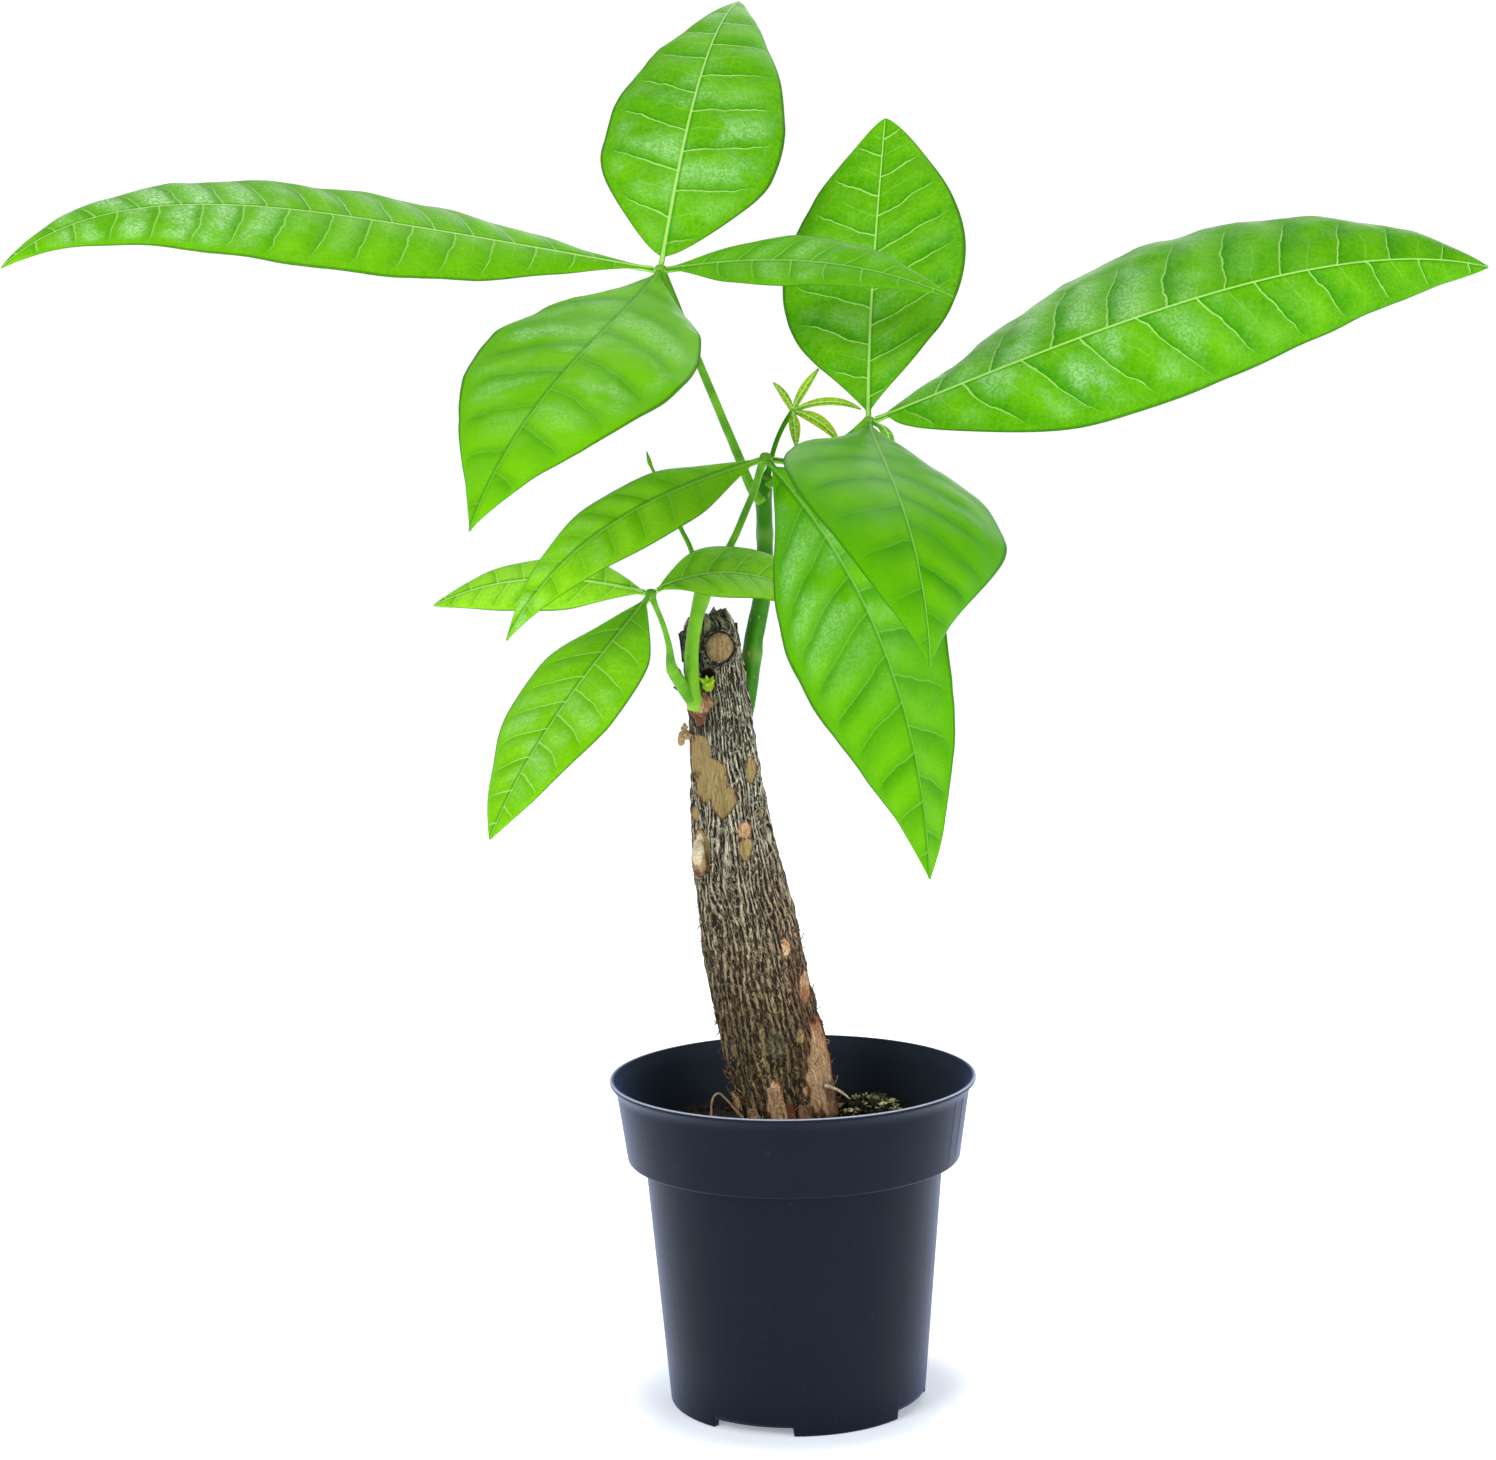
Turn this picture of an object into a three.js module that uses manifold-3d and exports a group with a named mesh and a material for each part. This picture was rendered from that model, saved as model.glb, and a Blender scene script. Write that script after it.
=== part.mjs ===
// Potted money tree: a young Pachira with four palmate leaves in a round nursery pot.
// Millimetres, +Z up. The origin is the middle of the pot's foot ring, on the floor.
// +X is the tree's right-hand side, and the front of the tree looks along -Y.

import * as THREE from 'three';
import { mergeVertices } from 'three/addons/utils/BufferGeometryUtils.js';
import Module from 'manifold-3d';

const wasm = await Module();
wasm.setup();

// Driving dimensions of the pot: a 10.5 cm nursery pot
const POT = {
  height: 94.4,
  rimRadius: 52.5,
  lipHeight: 2.2,
  collarTopRadius: 50.6,
  collarFootRadius: 47.7,
  collarFootZ: 71.0,
  bodyTopRadius: 42.8,
  baseRadius: 36.9,
  wall: 1.2,
  floorUnderside: 3.0,
  footWidth: 2.2,
  notchHeight: 2.6,
  feet: 4,
  footSpan: 52,
  firstFootAzimuth: -67,
  drainRadius: 3.5,
  drainCircle: 24,
  sides: 48,
};

// Driving dimensions of the soil and of the moss that lies on it
const SOIL = {
  level: 77,
  trunkMound: 3.5,
  trunkMoundReach: 15,
  heapHeight: 3,
  heapReach: 9,
  crumbs: 12,
  sides: 32,
};
const MOSS = { x: 25, y: 5, reachX: 11, reachY: 7, lumps: 13 };

// Pieces that meet are this far apart
const GAP = 0.3;

// The trunk's middle and radius at each height: it leans to the left and narrows
const TRUNK = [
  { x: 6, y: -1, z: 34, radius: 11 },
  { x: 4, y: -0.5, z: 48, radius: 13.5 },
  { x: 0, y: 0, z: 72, radius: 14.8 },
  { x: -3.4, y: 0, z: 93, radius: 15 },
  { x: -5.4, y: 1, z: 105, radius: 15.2 },
  { x: -8, y: 1.5, z: 117, radius: 14.5 },
  { x: -11.2, y: 2, z: 134, radius: 13.9 },
  { x: -14.2, y: 2, z: 151, radius: 12.6 },
  { x: -16, y: 2, z: 167, radius: 10.9 },
  { x: -17.2, y: 1.5, z: 181, radius: 9.8 },
  { x: -19.2, y: 0.5, z: 202, radius: 8.9 },
  { x: -20.8, y: 0, z: 218, radius: 8 },
  { x: -21.4, y: 0, z: 224, radius: 7 },
  { x: -21.7, y: 0, z: 226.5, radius: 5.4 },
];
const BARK = { ridges: 10, ridgeDepth: 0.4, lumpDepth: 0.3, sides: 28, steps: 30 };

// Where the leaflets of each leaf meet
const HUB = {
  a: [-33, 5, 323.6],
  b: [24, -10, 280.5],
  c: [-4.8, -20, 271.4],
  d: [-36.6, -30, 235.5],
  young: [3.4, 8, 283.5],
};
const HUB_RADIUS = 1.9;

// Stems: each station is x, y, z and the radius there
const SHOOT_BACK = [
  [-17, 4, 184, 3.2],
  [-13.2, 6.8, 195, 2.9],
  [-10.6, 8.5, 205, 2.7],
  [-8.7, 10, 219, 2.7],
  [-6, 11, 231.6, 2.55],
  [-5.1, 11, 242, 2.35],
  [-5.1, 10, 254, 2.25],
  [-5.2, 9, 261.5, 2.45],
  [-4.3, 8.3, 265, 1.5],
  [-3.9, 8, 267, 0.9],
];
const SHOOT_FRONT = [
  [-22.5, -3, 198, 2.4],
  [-25.8, -8, 204, 2.3],
  [-26.2, -10, 211, 2],
  [-26, -10.6, 219, 1.95],
  [-24.4, -11.6, 228, 2],
  [-22.7, -12, 234, 2.4],
  [-21.9, -12, 237.5, 2.5],
];
const PETIOLE_A = [
  [-5.6, 8.6, 258.6, 1.5],
  [-8.6, 7, 262.4, 1.45],
  [-12.2, 6, 271.6, 1.35],
  [-17.1, 6, 283.8, 1.27],
  [-22.4, 7, 297, 1.2],
  [-27.2, 6, 309.7, 1.15],
  [-31, 5.2, 319.4, 1.15],
  [...HUB.a, 1.2],
];
const PETIOLE_B = [
  [-4.8, 8.6, 262.8, 1.3],
  [-1.2, 6, 264.8, 1.2],
  [3, 2, 267.6, 1.1],
  [11, -4, 271.6, 1.1],
  [18.6, -8, 276.4, 1.15],
  [...HUB.b, 1.2],
];
const PETIOLE_C = [
  [-22, -12, 234.5, 1.2],
  [-20, -12, 238.6, 1.15],
  [-17.2, -11.8, 243.2, 1.05],
  [-13.6, -11.8, 249.4, 1],
  [-10.6, -12, 256.1, 1],
  [-7.9, -13.4, 262.4, 1],
  [-6.2, -17, 268, 1.05],
  [...HUB.c, 1.3],
];
const PETIOLE_D = [
  [-26.6, -9, 204.4, 1.9],
  [-29.8, -11.6, 209.8, 1.85],
  [-31.8, -14.4, 214, 1.6],
  [-32.2, -18.6, 220, 1.05],
  [-33.6, -23.4, 226.4, 0.95],
  [-35.4, -27.6, 231.8, 0.95],
  [...HUB.d, 1.15],
];
const PETIOLE_YOUNG = [
  [-22.4, -12, 235, 1],
  [-24.1, -12, 239.2, 0.85],
  [-25.8, -11.2, 246.4, 0.72],
  [-28.4, -10, 252, 0.72],
  [-32.6, -8, 261.3, 0.66],
  [-36.5, -6, 270, 0.62],
];
const YOUNG_LEAF_STEM = [
  [-4, 8.1, 265.4, 0.95],
  [-3, 8, 269.8, 0.8],
  [-1.3, 8, 275.2, 0.72],
  [1, 8, 280, 0.72],
  [...HUB.young, 0.8],
];
const SIDE_BUD = { at: [-21.8, -9.2, 208.6], radii: [1.9, 1.7, 2.2] };
const LOOPED_ROOT = [
  [-14, -11, 84, 0.7],
  [-18.5, -13, 90, 0.6],
  [-21.4, -14.4, 93, 0.55],
  [-23.4, -15, 91, 0.55],
  [-23.8, -15.2, 86, 0.55],
  [-22.6, -15.4, 81.4, 0.5],
];
const WHITE_ROOT = [
  [7, -10, 95, 0.8],
  [11.6, -12, 94, 0.65],
  [14.6, -12.6, 92, 0.5],
  [16.4, -13, 90.4, 0.4],
];

// Leaflets. The midrib leaves the hub at an angle (heading) and a slope (rise), bends down by
// droop and sideways by sweep. Widest is the share of the length where the blade is widest.
// Roll and twist bank the blade, fold lifts its halves and curl bends their edges down again.
const LEAFLETS = {
  leaf_a_top: {
    hub: HUB.a, heading: 74, rise: 57, droop: 42, bend: 1.7, sweep: 3, length: 127, width: 54,
    widest: 0.38, full: 0.95, roll: -16, twist: 12, fold: 0, curl: 28, skew: 0.06,
  },
  leaf_a_left: {
    hub: HUB.a, heading: 199, rise: 10, droop: 53, bend: 4.5, sweep: -6, length: 182, width: 48,
    widest: 0.5, full: 0.88, roll: 34, twist: -5, fold: 5, curl: 30, skew: 0,
  },
  leaf_a_front: {
    hub: HUB.a, heading: 259, rise: -18, droop: 43, bend: 2.4, sweep: -29, length: 133, width: 60,
    widest: 0.47, full: 1.1, roll: 12, twist: 0, fold: 4, curl: 25, skew: 0.03,
  },
  leaf_a_right: {
    hub: HUB.a, heading: -30, rise: 5, droop: 28, bend: 1.4, sweep: 0, length: 90, width: 23,
    widest: 0.43, full: 1, roll: -41, twist: 11, fold: 10, curl: 20, skew: 0,
  },
  leaf_a_hidden: {
    hub: HUB.a, heading: 205, rise: -45, droop: 15, bend: 1.4, sweep: 0, length: 52, width: 20,
    widest: 0.48, full: 0.9, roll: 15, twist: 0, fold: 8, curl: 20, skew: 0,
  },
  leaf_b_top: {
    hub: HUB.b, heading: 87, rise: 44, droop: -18, bend: 1.4, sweep: -10, length: 111, width: 55,
    widest: 0.51, full: 0.84, roll: 11, twist: -1, fold: 10, curl: 19, skew: 0,
  },
  leaf_b_right: {
    hub: HUB.b, heading: -14, rise: 21, droop: 31, bend: 2.5, sweep: 43, length: 187, width: 61,
    widest: 0.37, full: 0.78, roll: -39, twist: -33, fold: -8, curl: 36, skew: -0.17,
  },
  leaf_b_front: {
    hub: HUB.b, heading: -88, rise: -14, droop: 75, bend: 2.5, sweep: 13, length: 111, width: 65,
    widest: 0.49, full: 1.1, roll: 13, twist: 14, fold: 5, curl: 24, skew: -0.06,
  },
  leaf_b_small: {
    hub: HUB.b, heading: -30, rise: -16, droop: 105, bend: 1, sweep: 0, length: 11, width: 5,
    widest: 0.5, full: 0.9, roll: -10, twist: 0, fold: 10, curl: 20, skew: 0,
  },
  leaf_c_left: {
    hub: HUB.c, heading: 216, rise: -13, droop: 45, bend: 1.9, sweep: -2, length: 95, width: 22,
    widest: 0.44, full: 0.97, roll: 41, twist: -10, fold: 5, curl: 25, skew: -0.04,
  },
  leaf_c_front: {
    hub: HUB.c, heading: -56, rise: -33, droop: 56, bend: 1.5, sweep: -5, length: 134, width: 53,
    widest: 0.46, full: 0.94, roll: -68, twist: -12, fold: 16, curl: 15, skew: 0.04,
  },
  leaf_c_hidden: {
    hub: HUB.c, heading: -5, rise: -8, droop: 38, bend: 1.2, sweep: -8, length: 66, width: 21,
    widest: 0.48, full: 0.9, roll: -15, twist: 0, fold: 8, curl: 20, skew: 0,
  },
  leaf_d_left: {
    hub: HUB.d, heading: 146, rise: 10, droop: 34, bend: 1.4, sweep: 10, length: 71, width: 21,
    widest: 0.45, full: 0.8, roll: 39, twist: 7, fold: 4, curl: 25, skew: -0.04,
  },
  leaf_d_front: {
    hub: HUB.d, heading: 239, rise: -31, droop: 30, bend: 1.7, sweep: -18, length: 87, width: 35,
    widest: 0.47, full: 0.84, roll: 8, twist: -3, fold: 8, curl: 22, skew: 0,
  },
  leaf_d_right: {
    hub: HUB.d, heading: 10, rise: 28, droop: 69, bend: 0.9, sweep: -9, length: 49, width: 26,
    widest: 0.45, full: 0.8, roll: -30, twist: 0, fold: 12, curl: 18, skew: 0,
  },
};
const BLADE = {
  thickness: 0.6,
  ribDepth: 0.9,
  stalkLength: 6,
  stalkHalfWidth: 0.8,
  stalkSwell: 0.4,
  tipHalfWidth: 0.6,
  stalkShare: 0.04,
  columns: [-1, -0.55, -0.1, 0.1, 0.55, 1],
  rowLength: 9,
  waveDepth: 0.9,
  waveLength: 26,
};

// The unfolding leaf at the top of the back shoot: five narrow leaflets round its hub
const YOUNG_LEAFLETS = [
  { heading: 150, rise: 62, droop: 20, sweep: 0, length: 8, width: 1.9 },
  { heading: 35, rise: 58, droop: 15, sweep: 0, length: 13, width: 2.3 },
  { heading: -20, rise: 22, droop: 48, sweep: -5, length: 19, width: 2.8 },
  { heading: -30, rise: -12, droop: 42, sweep: 0, length: 15, width: 3.2 },
  { heading: 275, rise: -40, droop: 25, sweep: 0, length: 10.5, width: 2.6 },
];

const COLOURS = {
  pot: 0x252a33, soil: 0x2a2118, moss: 0x8f9a52, bark: 0x7d6f5f,
  leaf: 0x52b318, darkLeaf: 0x3c9418, youngLeaf: 0xb4cf4a, shoot: 0x6fb52c, darkShoot: 0x2e7a2a,
};

const rad = THREE.MathUtils.degToRad;
const random = (() => {
  let seed = 20;
  return (low, high) => {
    seed = (seed * 16807) % 2147483647;
    return low + (high - low) * (seed / 2147483647);
  };
})();

// Closed geometry to a solid that can be joined and cut, and back
function toSolid(geometry) {
  const bare = geometry.clone();
  bare.deleteAttribute('normal');
  bare.deleteAttribute('uv');
  const merged = mergeVertices(bare, 1e-4);
  return new wasm.Manifold(new wasm.Mesh({
    numProp: 3,
    vertProperties: merged.attributes.position.array,
    triVerts: Uint32Array.from(merged.index.array),
  }));
}

function toGeometry(solid) {
  const mesh = solid.getMesh();
  const geometry = new THREE.BufferGeometry();
  geometry.setAttribute('position', new THREE.Float32BufferAttribute(mesh.vertProperties, 3));
  geometry.setIndex([...mesh.triVerts]);
  return geometry;
}

function union(geometries) {
  return geometries.map(toSolid).reduce((sum, solid) => sum.add(solid));
}

// A solid thickened by the gap that its neighbours keep: its own shape moved each way
function clearance(solid) {
  const moves = [-1, 0, 1].flatMap((x) => [-1, 0, 1].flatMap((y) => [-1, 0, 1].map((z) => [x, y, z])));
  return moves.reduce((sum, [x, y, z]) => {
    const reach = GAP / Math.max(1, Math.hypot(x, y, z));
    return sum.add(solid.translate([x * reach, y * reach, z * reach]));
  }, solid);
}

// The largest body of a solid, which drops the scraps that a cut leaves
function mainBody(solid) {
  const bodies = solid.decompose();
  return bodies.reduce((best, body) => (body.volume() > best.volume() ? body : best));
}

// Skins a stack of closed rings, each counter-clockwise from the stack's far end, and closes both ends
function loft(rings) {
  const sides = rings[0].length;
  const points = rings.flat();
  const faces = [];
  for (let ring = 0; ring < rings.length - 1; ring += 1) {
    for (let side = 0; side < sides; side += 1) {
      const next = (side + 1) % sides;
      const [a, b] = [ring * sides + side, ring * sides + next];
      faces.push(a, b, b + sides, a, b + sides, a + sides);
    }
  }
  const centre = (ring) => ring.reduce((sum, p) => sum.add(p), new THREE.Vector3())
    .divideScalar(ring.length);
  const first = points.push(centre(rings[0])) - 1;
  const last = points.push(centre(rings.at(-1))) - 1;
  const top = (rings.length - 1) * sides;
  for (let side = 0; side < sides; side += 1) {
    const next = (side + 1) % sides;
    faces.push(first, next, side, last, top + side, top + next);
  }
  const geometry = new THREE.BufferGeometry().setFromPoints(points);
  geometry.setIndex(faces);
  return geometry;
}

// A round stem through its stations
function stem(stations, { sides = 8, steps = 2 * (stations.length - 1) } = {}) {
  const curve = new THREE.CatmullRomCurve3(stations.map(([x, y, z]) => new THREE.Vector3(x, y, z)));
  const across = new THREE.Vector3(1, 0, 0);
  const rings = [];
  for (let step = 0; step <= steps; step += 1) {
    const share = step / steps;
    const place = share * (stations.length - 1);
    const from = Math.min(Math.floor(place), stations.length - 2);
    const radius = THREE.MathUtils.lerp(stations[from][3], stations[from + 1][3], place - from);
    const middle = curve.getPoint(share);
    const along = curve.getTangent(share);
    across.addScaledVector(along, -across.dot(along)).normalize();
    const beside = new THREE.Vector3().crossVectors(along, across);
    rings.push(Array.from({ length: sides }, (_, side) => {
      const angle = (2 * Math.PI * side) / sides;
      return middle.clone()
        .addScaledVector(across, Math.cos(angle) * radius)
        .addScaledVector(beside, Math.sin(angle) * radius);
    }));
  }
  return loft(rings);
}

// An uneven lump: a coarse ball, squashed and pushed about
function lump([x, y, z], [rx, ry, rz], detail = 1) {
  const ball = new THREE.IcosahedronGeometry(1, detail);
  ball.deleteAttribute('normal');
  ball.deleteAttribute('uv');
  const merged = mergeVertices(ball, 1e-4);
  const place = merged.attributes.position;
  for (let i = 0; i < place.count; i += 1) {
    const push = random(0.82, 1.18);
    place.setXYZ(i, x + place.getX(i) * rx * push, y + place.getY(i) * ry * push,
      z + place.getZ(i) * rz * push);
  }
  return merged;
}

// Pot: a turned shell, notched at its foot ring and drained through its floor
function potProfile() {
  const { height, rimRadius, lipHeight, wall, floorUnderside: floor } = POT;
  const lip = height - lipHeight;
  const inside = POT.baseRadius - wall;
  return [
    [0, floor], [POT.baseRadius - POT.footWidth, floor], [POT.baseRadius - POT.footWidth, 0],
    [POT.baseRadius - 0.3, 0], [POT.baseRadius, 0.8], [POT.bodyTopRadius, POT.collarFootZ],
    [POT.collarFootRadius - 0.6, POT.collarFootZ], [POT.collarFootRadius, POT.collarFootZ + 0.6],
    [POT.collarTopRadius, lip - 0.6], [rimRadius - 0.3, lip + 0.2], [rimRadius, lip + 1.1],
    [rimRadius - 0.6, height - 0.2], [rimRadius - 1.2, height], [rimRadius - 1.7, height - 0.4],
    [POT.collarTopRadius - wall, lip - 1], [POT.collarFootRadius - wall, POT.collarFootZ + wall],
    [POT.bodyTopRadius - wall, POT.collarFootZ + wall - 0.2], [inside + 0.3, floor + wall + 0.5],
    [inside - 0.4, floor + wall], [0, floor + wall],
  ].map(([radius, z]) => new THREE.Vector2(radius, z));
}

function footNotch(index) {
  const pitch = 360 / POT.feet;
  const start = rad(POT.firstFootAzimuth + POT.footSpan / 2 + index * pitch);
  const end = start + rad(pitch - POT.footSpan);
  const sector = new THREE.Shape();
  sector.absarc(0, 0, POT.baseRadius + 6, start, end, false);
  sector.absarc(0, 0, POT.baseRadius - POT.footWidth - 1, end, start, true);
  sector.closePath();
  const notch = new THREE.ExtrudeGeometry(sector, {
    depth: POT.notchHeight + 2, bevelEnabled: false, curveSegments: 5,
  });
  return notch.translate(0, 0, -2);
}

function drainHole(index) {
  const turn = rad(POT.firstFootAzimuth + 45 + (index * 360) / POT.feet);
  return new THREE.CylinderGeometry(POT.drainRadius, POT.drainRadius, 10, 14)
    .rotateX(Math.PI / 2)
    .translate(POT.drainCircle * Math.cos(turn), POT.drainCircle * Math.sin(turn), POT.floorUnderside);
}

function makePot() {
  const shell = new THREE.LatheGeometry(potProfile(), POT.sides).rotateX(Math.PI / 2);
  let pot = toSolid(shell);
  for (let index = 0; index < POT.feet; index += 1) {
    pot = pot.subtract(toSolid(footNotch(index))).subtract(toSolid(drainHole(index)));
  }
  return pot;
}

// Trunk: fissured bark round the stations above, with what has grown on it
function trunkAt(z) {
  const above = Math.max(1, TRUNK.findIndex((station) => station.z >= z));
  const [low, high] = [TRUNK[above - 1], TRUNK[above]];
  const share = (z - low.z) / (high.z - low.z);
  const mix = (key) => THREE.MathUtils.lerp(low[key], high[key], share);
  return { x: mix('x'), y: mix('y'), radius: mix('radius') };
}

function barkRelief(angle, z) {
  const drift = 1.3 * Math.sin(z / 23) + 0.5 * Math.sin(z / 7.3);
  const ridges = Math.sin(BARK.ridges * angle + drift) * Math.cos(3 * angle - z / 11);
  const lumps = Math.sin(2 * angle + z / 19) + 0.6 * Math.sin(3 * angle - z / 8.5);
  return BARK.ridgeDepth * ridges + BARK.lumpDepth * lumps;
}

function trunkSkin(grow = 0) {
  const [bottom, top] = [TRUNK[0].z, TRUNK.at(-1).z];
  const rings = [];
  for (let step = 0; step <= BARK.steps; step += 1) {
    const z = THREE.MathUtils.lerp(bottom, top, step / BARK.steps);
    const { x, y, radius } = trunkAt(z);
    rings.push(Array.from({ length: BARK.sides }, (_, side) => {
      const angle = (2 * Math.PI * side) / BARK.sides;
      const reach = radius + barkRelief(angle, z) + grow;
      const slant = step === BARK.steps ? 1.2 * Math.cos(angle - 0.5) : 0;
      return new THREE.Vector3(x + reach * Math.cos(angle), y + reach * Math.sin(angle), z + slant);
    }));
  }
  rings[0].forEach((point) => { point.z -= grow; });
  rings.at(-1).forEach((point) => { point.z += grow; });
  return loft(rings);
}

// Turns a piece made along +Z so that it points out of the bark at an azimuth, and moves it there
function ontoBark(geometry, z, azimuth, proud) {
  const { x, y, radius } = trunkAt(z);
  const angle = rad(azimuth);
  return geometry.rotateY(Math.PI / 2).rotateZ(angle)
    .translate(x + (radius + proud) * Math.cos(angle), y + (radius + proud) * Math.sin(angle), z);
}

function branchScar(z, azimuth, radius) {
  const profile = [
    [0, -4], [radius, -4], [radius * 1.05, 0.2], [radius * 0.96, 0.8], [radius * 0.84, 0.8],
    [radius * 0.76, 0.3], [0, 0.5],
  ].map(([r, height]) => new THREE.Vector2(r, height));
  const scar = new THREE.LatheGeometry(profile, 16).rotateX(Math.PI / 2);
  return ontoBark(scar, z, azimuth, 0);
}

// A strip of loose bark that stands off the trunk at its upper end
function barkFlake(z, azimuth, width, height, lean) {
  const outline = new THREE.Shape([
    [0, -1.5], [0.9, -0.6], [0.9 + lean * 0.4, height * 0.55], [0.9 + lean, height],
    [lean, height + 0.3], [lean * 0.4, height * 0.55], [-1.5, 0], [-1.5, -1.5],
  ].map(([x, y]) => new THREE.Vector2(x, y)));
  const strip = new THREE.ExtrudeGeometry(outline, { depth: width, bevelEnabled: false });
  const { x, y, radius } = trunkAt(z);
  const angle = rad(azimuth);
  return strip.translate(0, 0, -width / 2).rotateX(Math.PI / 2).rotateZ(angle)
    .translate(x + radius * Math.cos(angle), y + radius * Math.sin(angle), z);
}

function makeTrunk() {
  const trunk = [
    trunkSkin(),
    branchScar(218.5, -73, 4.1),
    branchScar(171, -40, 1.7),
    lump([-23.6, -6.6, 201.5], [4.6, 3.2, 4.4]),
    lump([-16.5, 6.4, 187], [4.2, 3.4, 5]),
    lump([-29, -3, 193.4], [3.2, 2, 2.5]),
    lump([-25.2, -4, 158], [3, 5, 6]),
    barkFlake(84.5, -97, 4.6, 10, 1.6),
    barkFlake(83.5, -125, 3.4, 4.5, 1.8),
    barkFlake(83.5, -70, 3.8, 5.5, 1.4),
    barkFlake(216, 172, 5, 7, 1),
    barkFlake(208, 185, 3.5, 5, 1.2),
    barkFlake(219.5, 20, 3.4, 5.4, 0.9),
    stem(LOOPED_ROOT, { sides: 5 }),
    stem(WHITE_ROOT, { sides: 5 }),
  ];
  return mainBody(union(trunk));
}

// Soil: fills the pot to its level, heaped at the trunk and under the moss
function soilHeight(x, y) {
  const stump = trunkAt(SOIL.level);
  const fromTrunk = Math.hypot(x - stump.x, y - stump.y) / SOIL.trunkMoundReach;
  const fromMoss = Math.hypot(x - MOSS.x, y - MOSS.y) / SOIL.heapReach;
  const grain = 0.35 * Math.sin(x / 2.3 + 1) * Math.cos(y / 2.9) + 0.3 * Math.sin((x + y) / 4.1);
  return SOIL.level + SOIL.trunkMound * Math.exp(-0.5 * fromTrunk ** 2)
    + SOIL.heapHeight * Math.exp(-0.5 * fromMoss ** 2) + grain;
}

function soilRing(radius, heightAt) {
  return Array.from({ length: SOIL.sides }, (_, side) => {
    const angle = (2 * Math.PI * side) / SOIL.sides;
    const [x, y] = [radius * Math.cos(angle), radius * Math.sin(angle)];
    return new THREE.Vector3(x, y, heightAt(x, y));
  });
}

function makeSoil() {
  const facet = Math.cos(Math.PI / POT.sides);
  const inside = (radius) => (radius - POT.wall) * facet - GAP;
  const ledge = POT.collarFootZ + POT.wall + GAP;
  const floor = POT.floorUnderside + POT.wall + GAP;
  const rim = inside(POT.collarFootRadius);
  const rings = [
    soilRing(inside(POT.baseRadius) - 0.5, () => floor),
    soilRing(inside(POT.baseRadius) + 0.1, () => floor + 0.8),
    soilRing(inside(POT.bodyTopRadius) - 0.1, () => ledge),
    soilRing(rim, () => ledge),
    soilRing(rim + 0.2, () => SOIL.level - 1.2),
    ...[0.93, 0.8, 0.66, 0.52, 0.4, 0.3, 0.15].map((share) => soilRing(rim * share, soilHeight)),
  ];
  const crumbs = Array.from({ length: SOIL.crumbs }, () => {
    const angle = rad(random(50, 320));
    const reach = random(22, 42);
    const [x, y] = [reach * Math.cos(angle), reach * Math.sin(angle)];
    const size = random(1.1, 2.1);
    return lump([x, y, soilHeight(x, y) + 0.3 * size], [size, size * 0.9, size * 0.7], 0);
  });
  const heap = union([loft(rings), ...crumbs]);
  return heap.subtract(toSolid(trunkSkin(0.45)));
}

// Moss: a cushion of small lumps that follows the soil under it
function makeMoss(soil) {
  const lumps = [lump([MOSS.x, MOSS.y, soilHeight(MOSS.x, MOSS.y)], [MOSS.reachX, MOSS.reachY, 2.4])];
  for (let index = 0; index < MOSS.lumps; index += 1) {
    const angle = index * 2.4;
    const reach = 0.85 * Math.sqrt((index + 0.5) / MOSS.lumps);
    const x = MOSS.x + reach * MOSS.reachX * Math.cos(angle);
    const y = MOSS.y + reach * MOSS.reachY * Math.sin(angle);
    const size = random(1.6, 2.6);
    const height = size * random(0.8, 1.2);
    lumps.push(lump([x, y, soilHeight(x, y) + random(1, 2)], [size * 1.2, size, height], 0));
  }
  return mainBody(union(lumps).subtract(soil.translate([0, 0, GAP])));
}

// Leaflet: a thin arched blade with its midrib raised below, on a short round stalk
function midribDirection(leaflet, share) {
  const slope = rad(leaflet.rise - leaflet.droop * share ** leaflet.bend);
  const turn = rad(leaflet.heading + leaflet.sweep * share);
  return new THREE.Vector3(
    Math.cos(slope) * Math.cos(turn), Math.cos(slope) * Math.sin(turn), Math.sin(slope));
}

function halfWidth(leaflet, share) {
  const along = THREE.MathUtils.clamp((share - BLADE.stalkShare) / (1 - BLADE.stalkShare), 0, 1);
  const shift = Math.log(0.5) / Math.log(leaflet.widest);
  const outline = Math.max(0, Math.sin(Math.PI * along ** shift)) ** leaflet.full;
  const least = THREE.MathUtils.lerp(BLADE.stalkHalfWidth, BLADE.tipHalfWidth, share);
  return Math.hypot(outline * leaflet.width / 2, least);
}

function bladeRows(leaflet) {
  const count = Math.max(5, Math.round(leaflet.length / BLADE.rowLength) + 2);
  const start = HUB_RADIUS + GAP;
  const middle = new THREE.Vector3(...leaflet.hub).addScaledVector(midribDirection(leaflet, 0), start);
  const substeps = 5;
  const rows = [];
  let share = 0;
  for (let row = 0; row <= count; row += 1) {
    rows.push({ share, middle: middle.clone() });
    const even = (row + 1) / count;
    const eased = 0.6 * even + 0.2 * (1 - Math.cos(Math.PI * even));
    for (let sub = 0; sub < substeps; sub += 1) {
      const here = share + ((eased - share) * (sub + 0.5)) / substeps;
      middle.addScaledVector(midribDirection(leaflet, here), (leaflet.length * (eased - share)) / substeps);
    }
    share = eased;
  }
  return rows;
}

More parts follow.
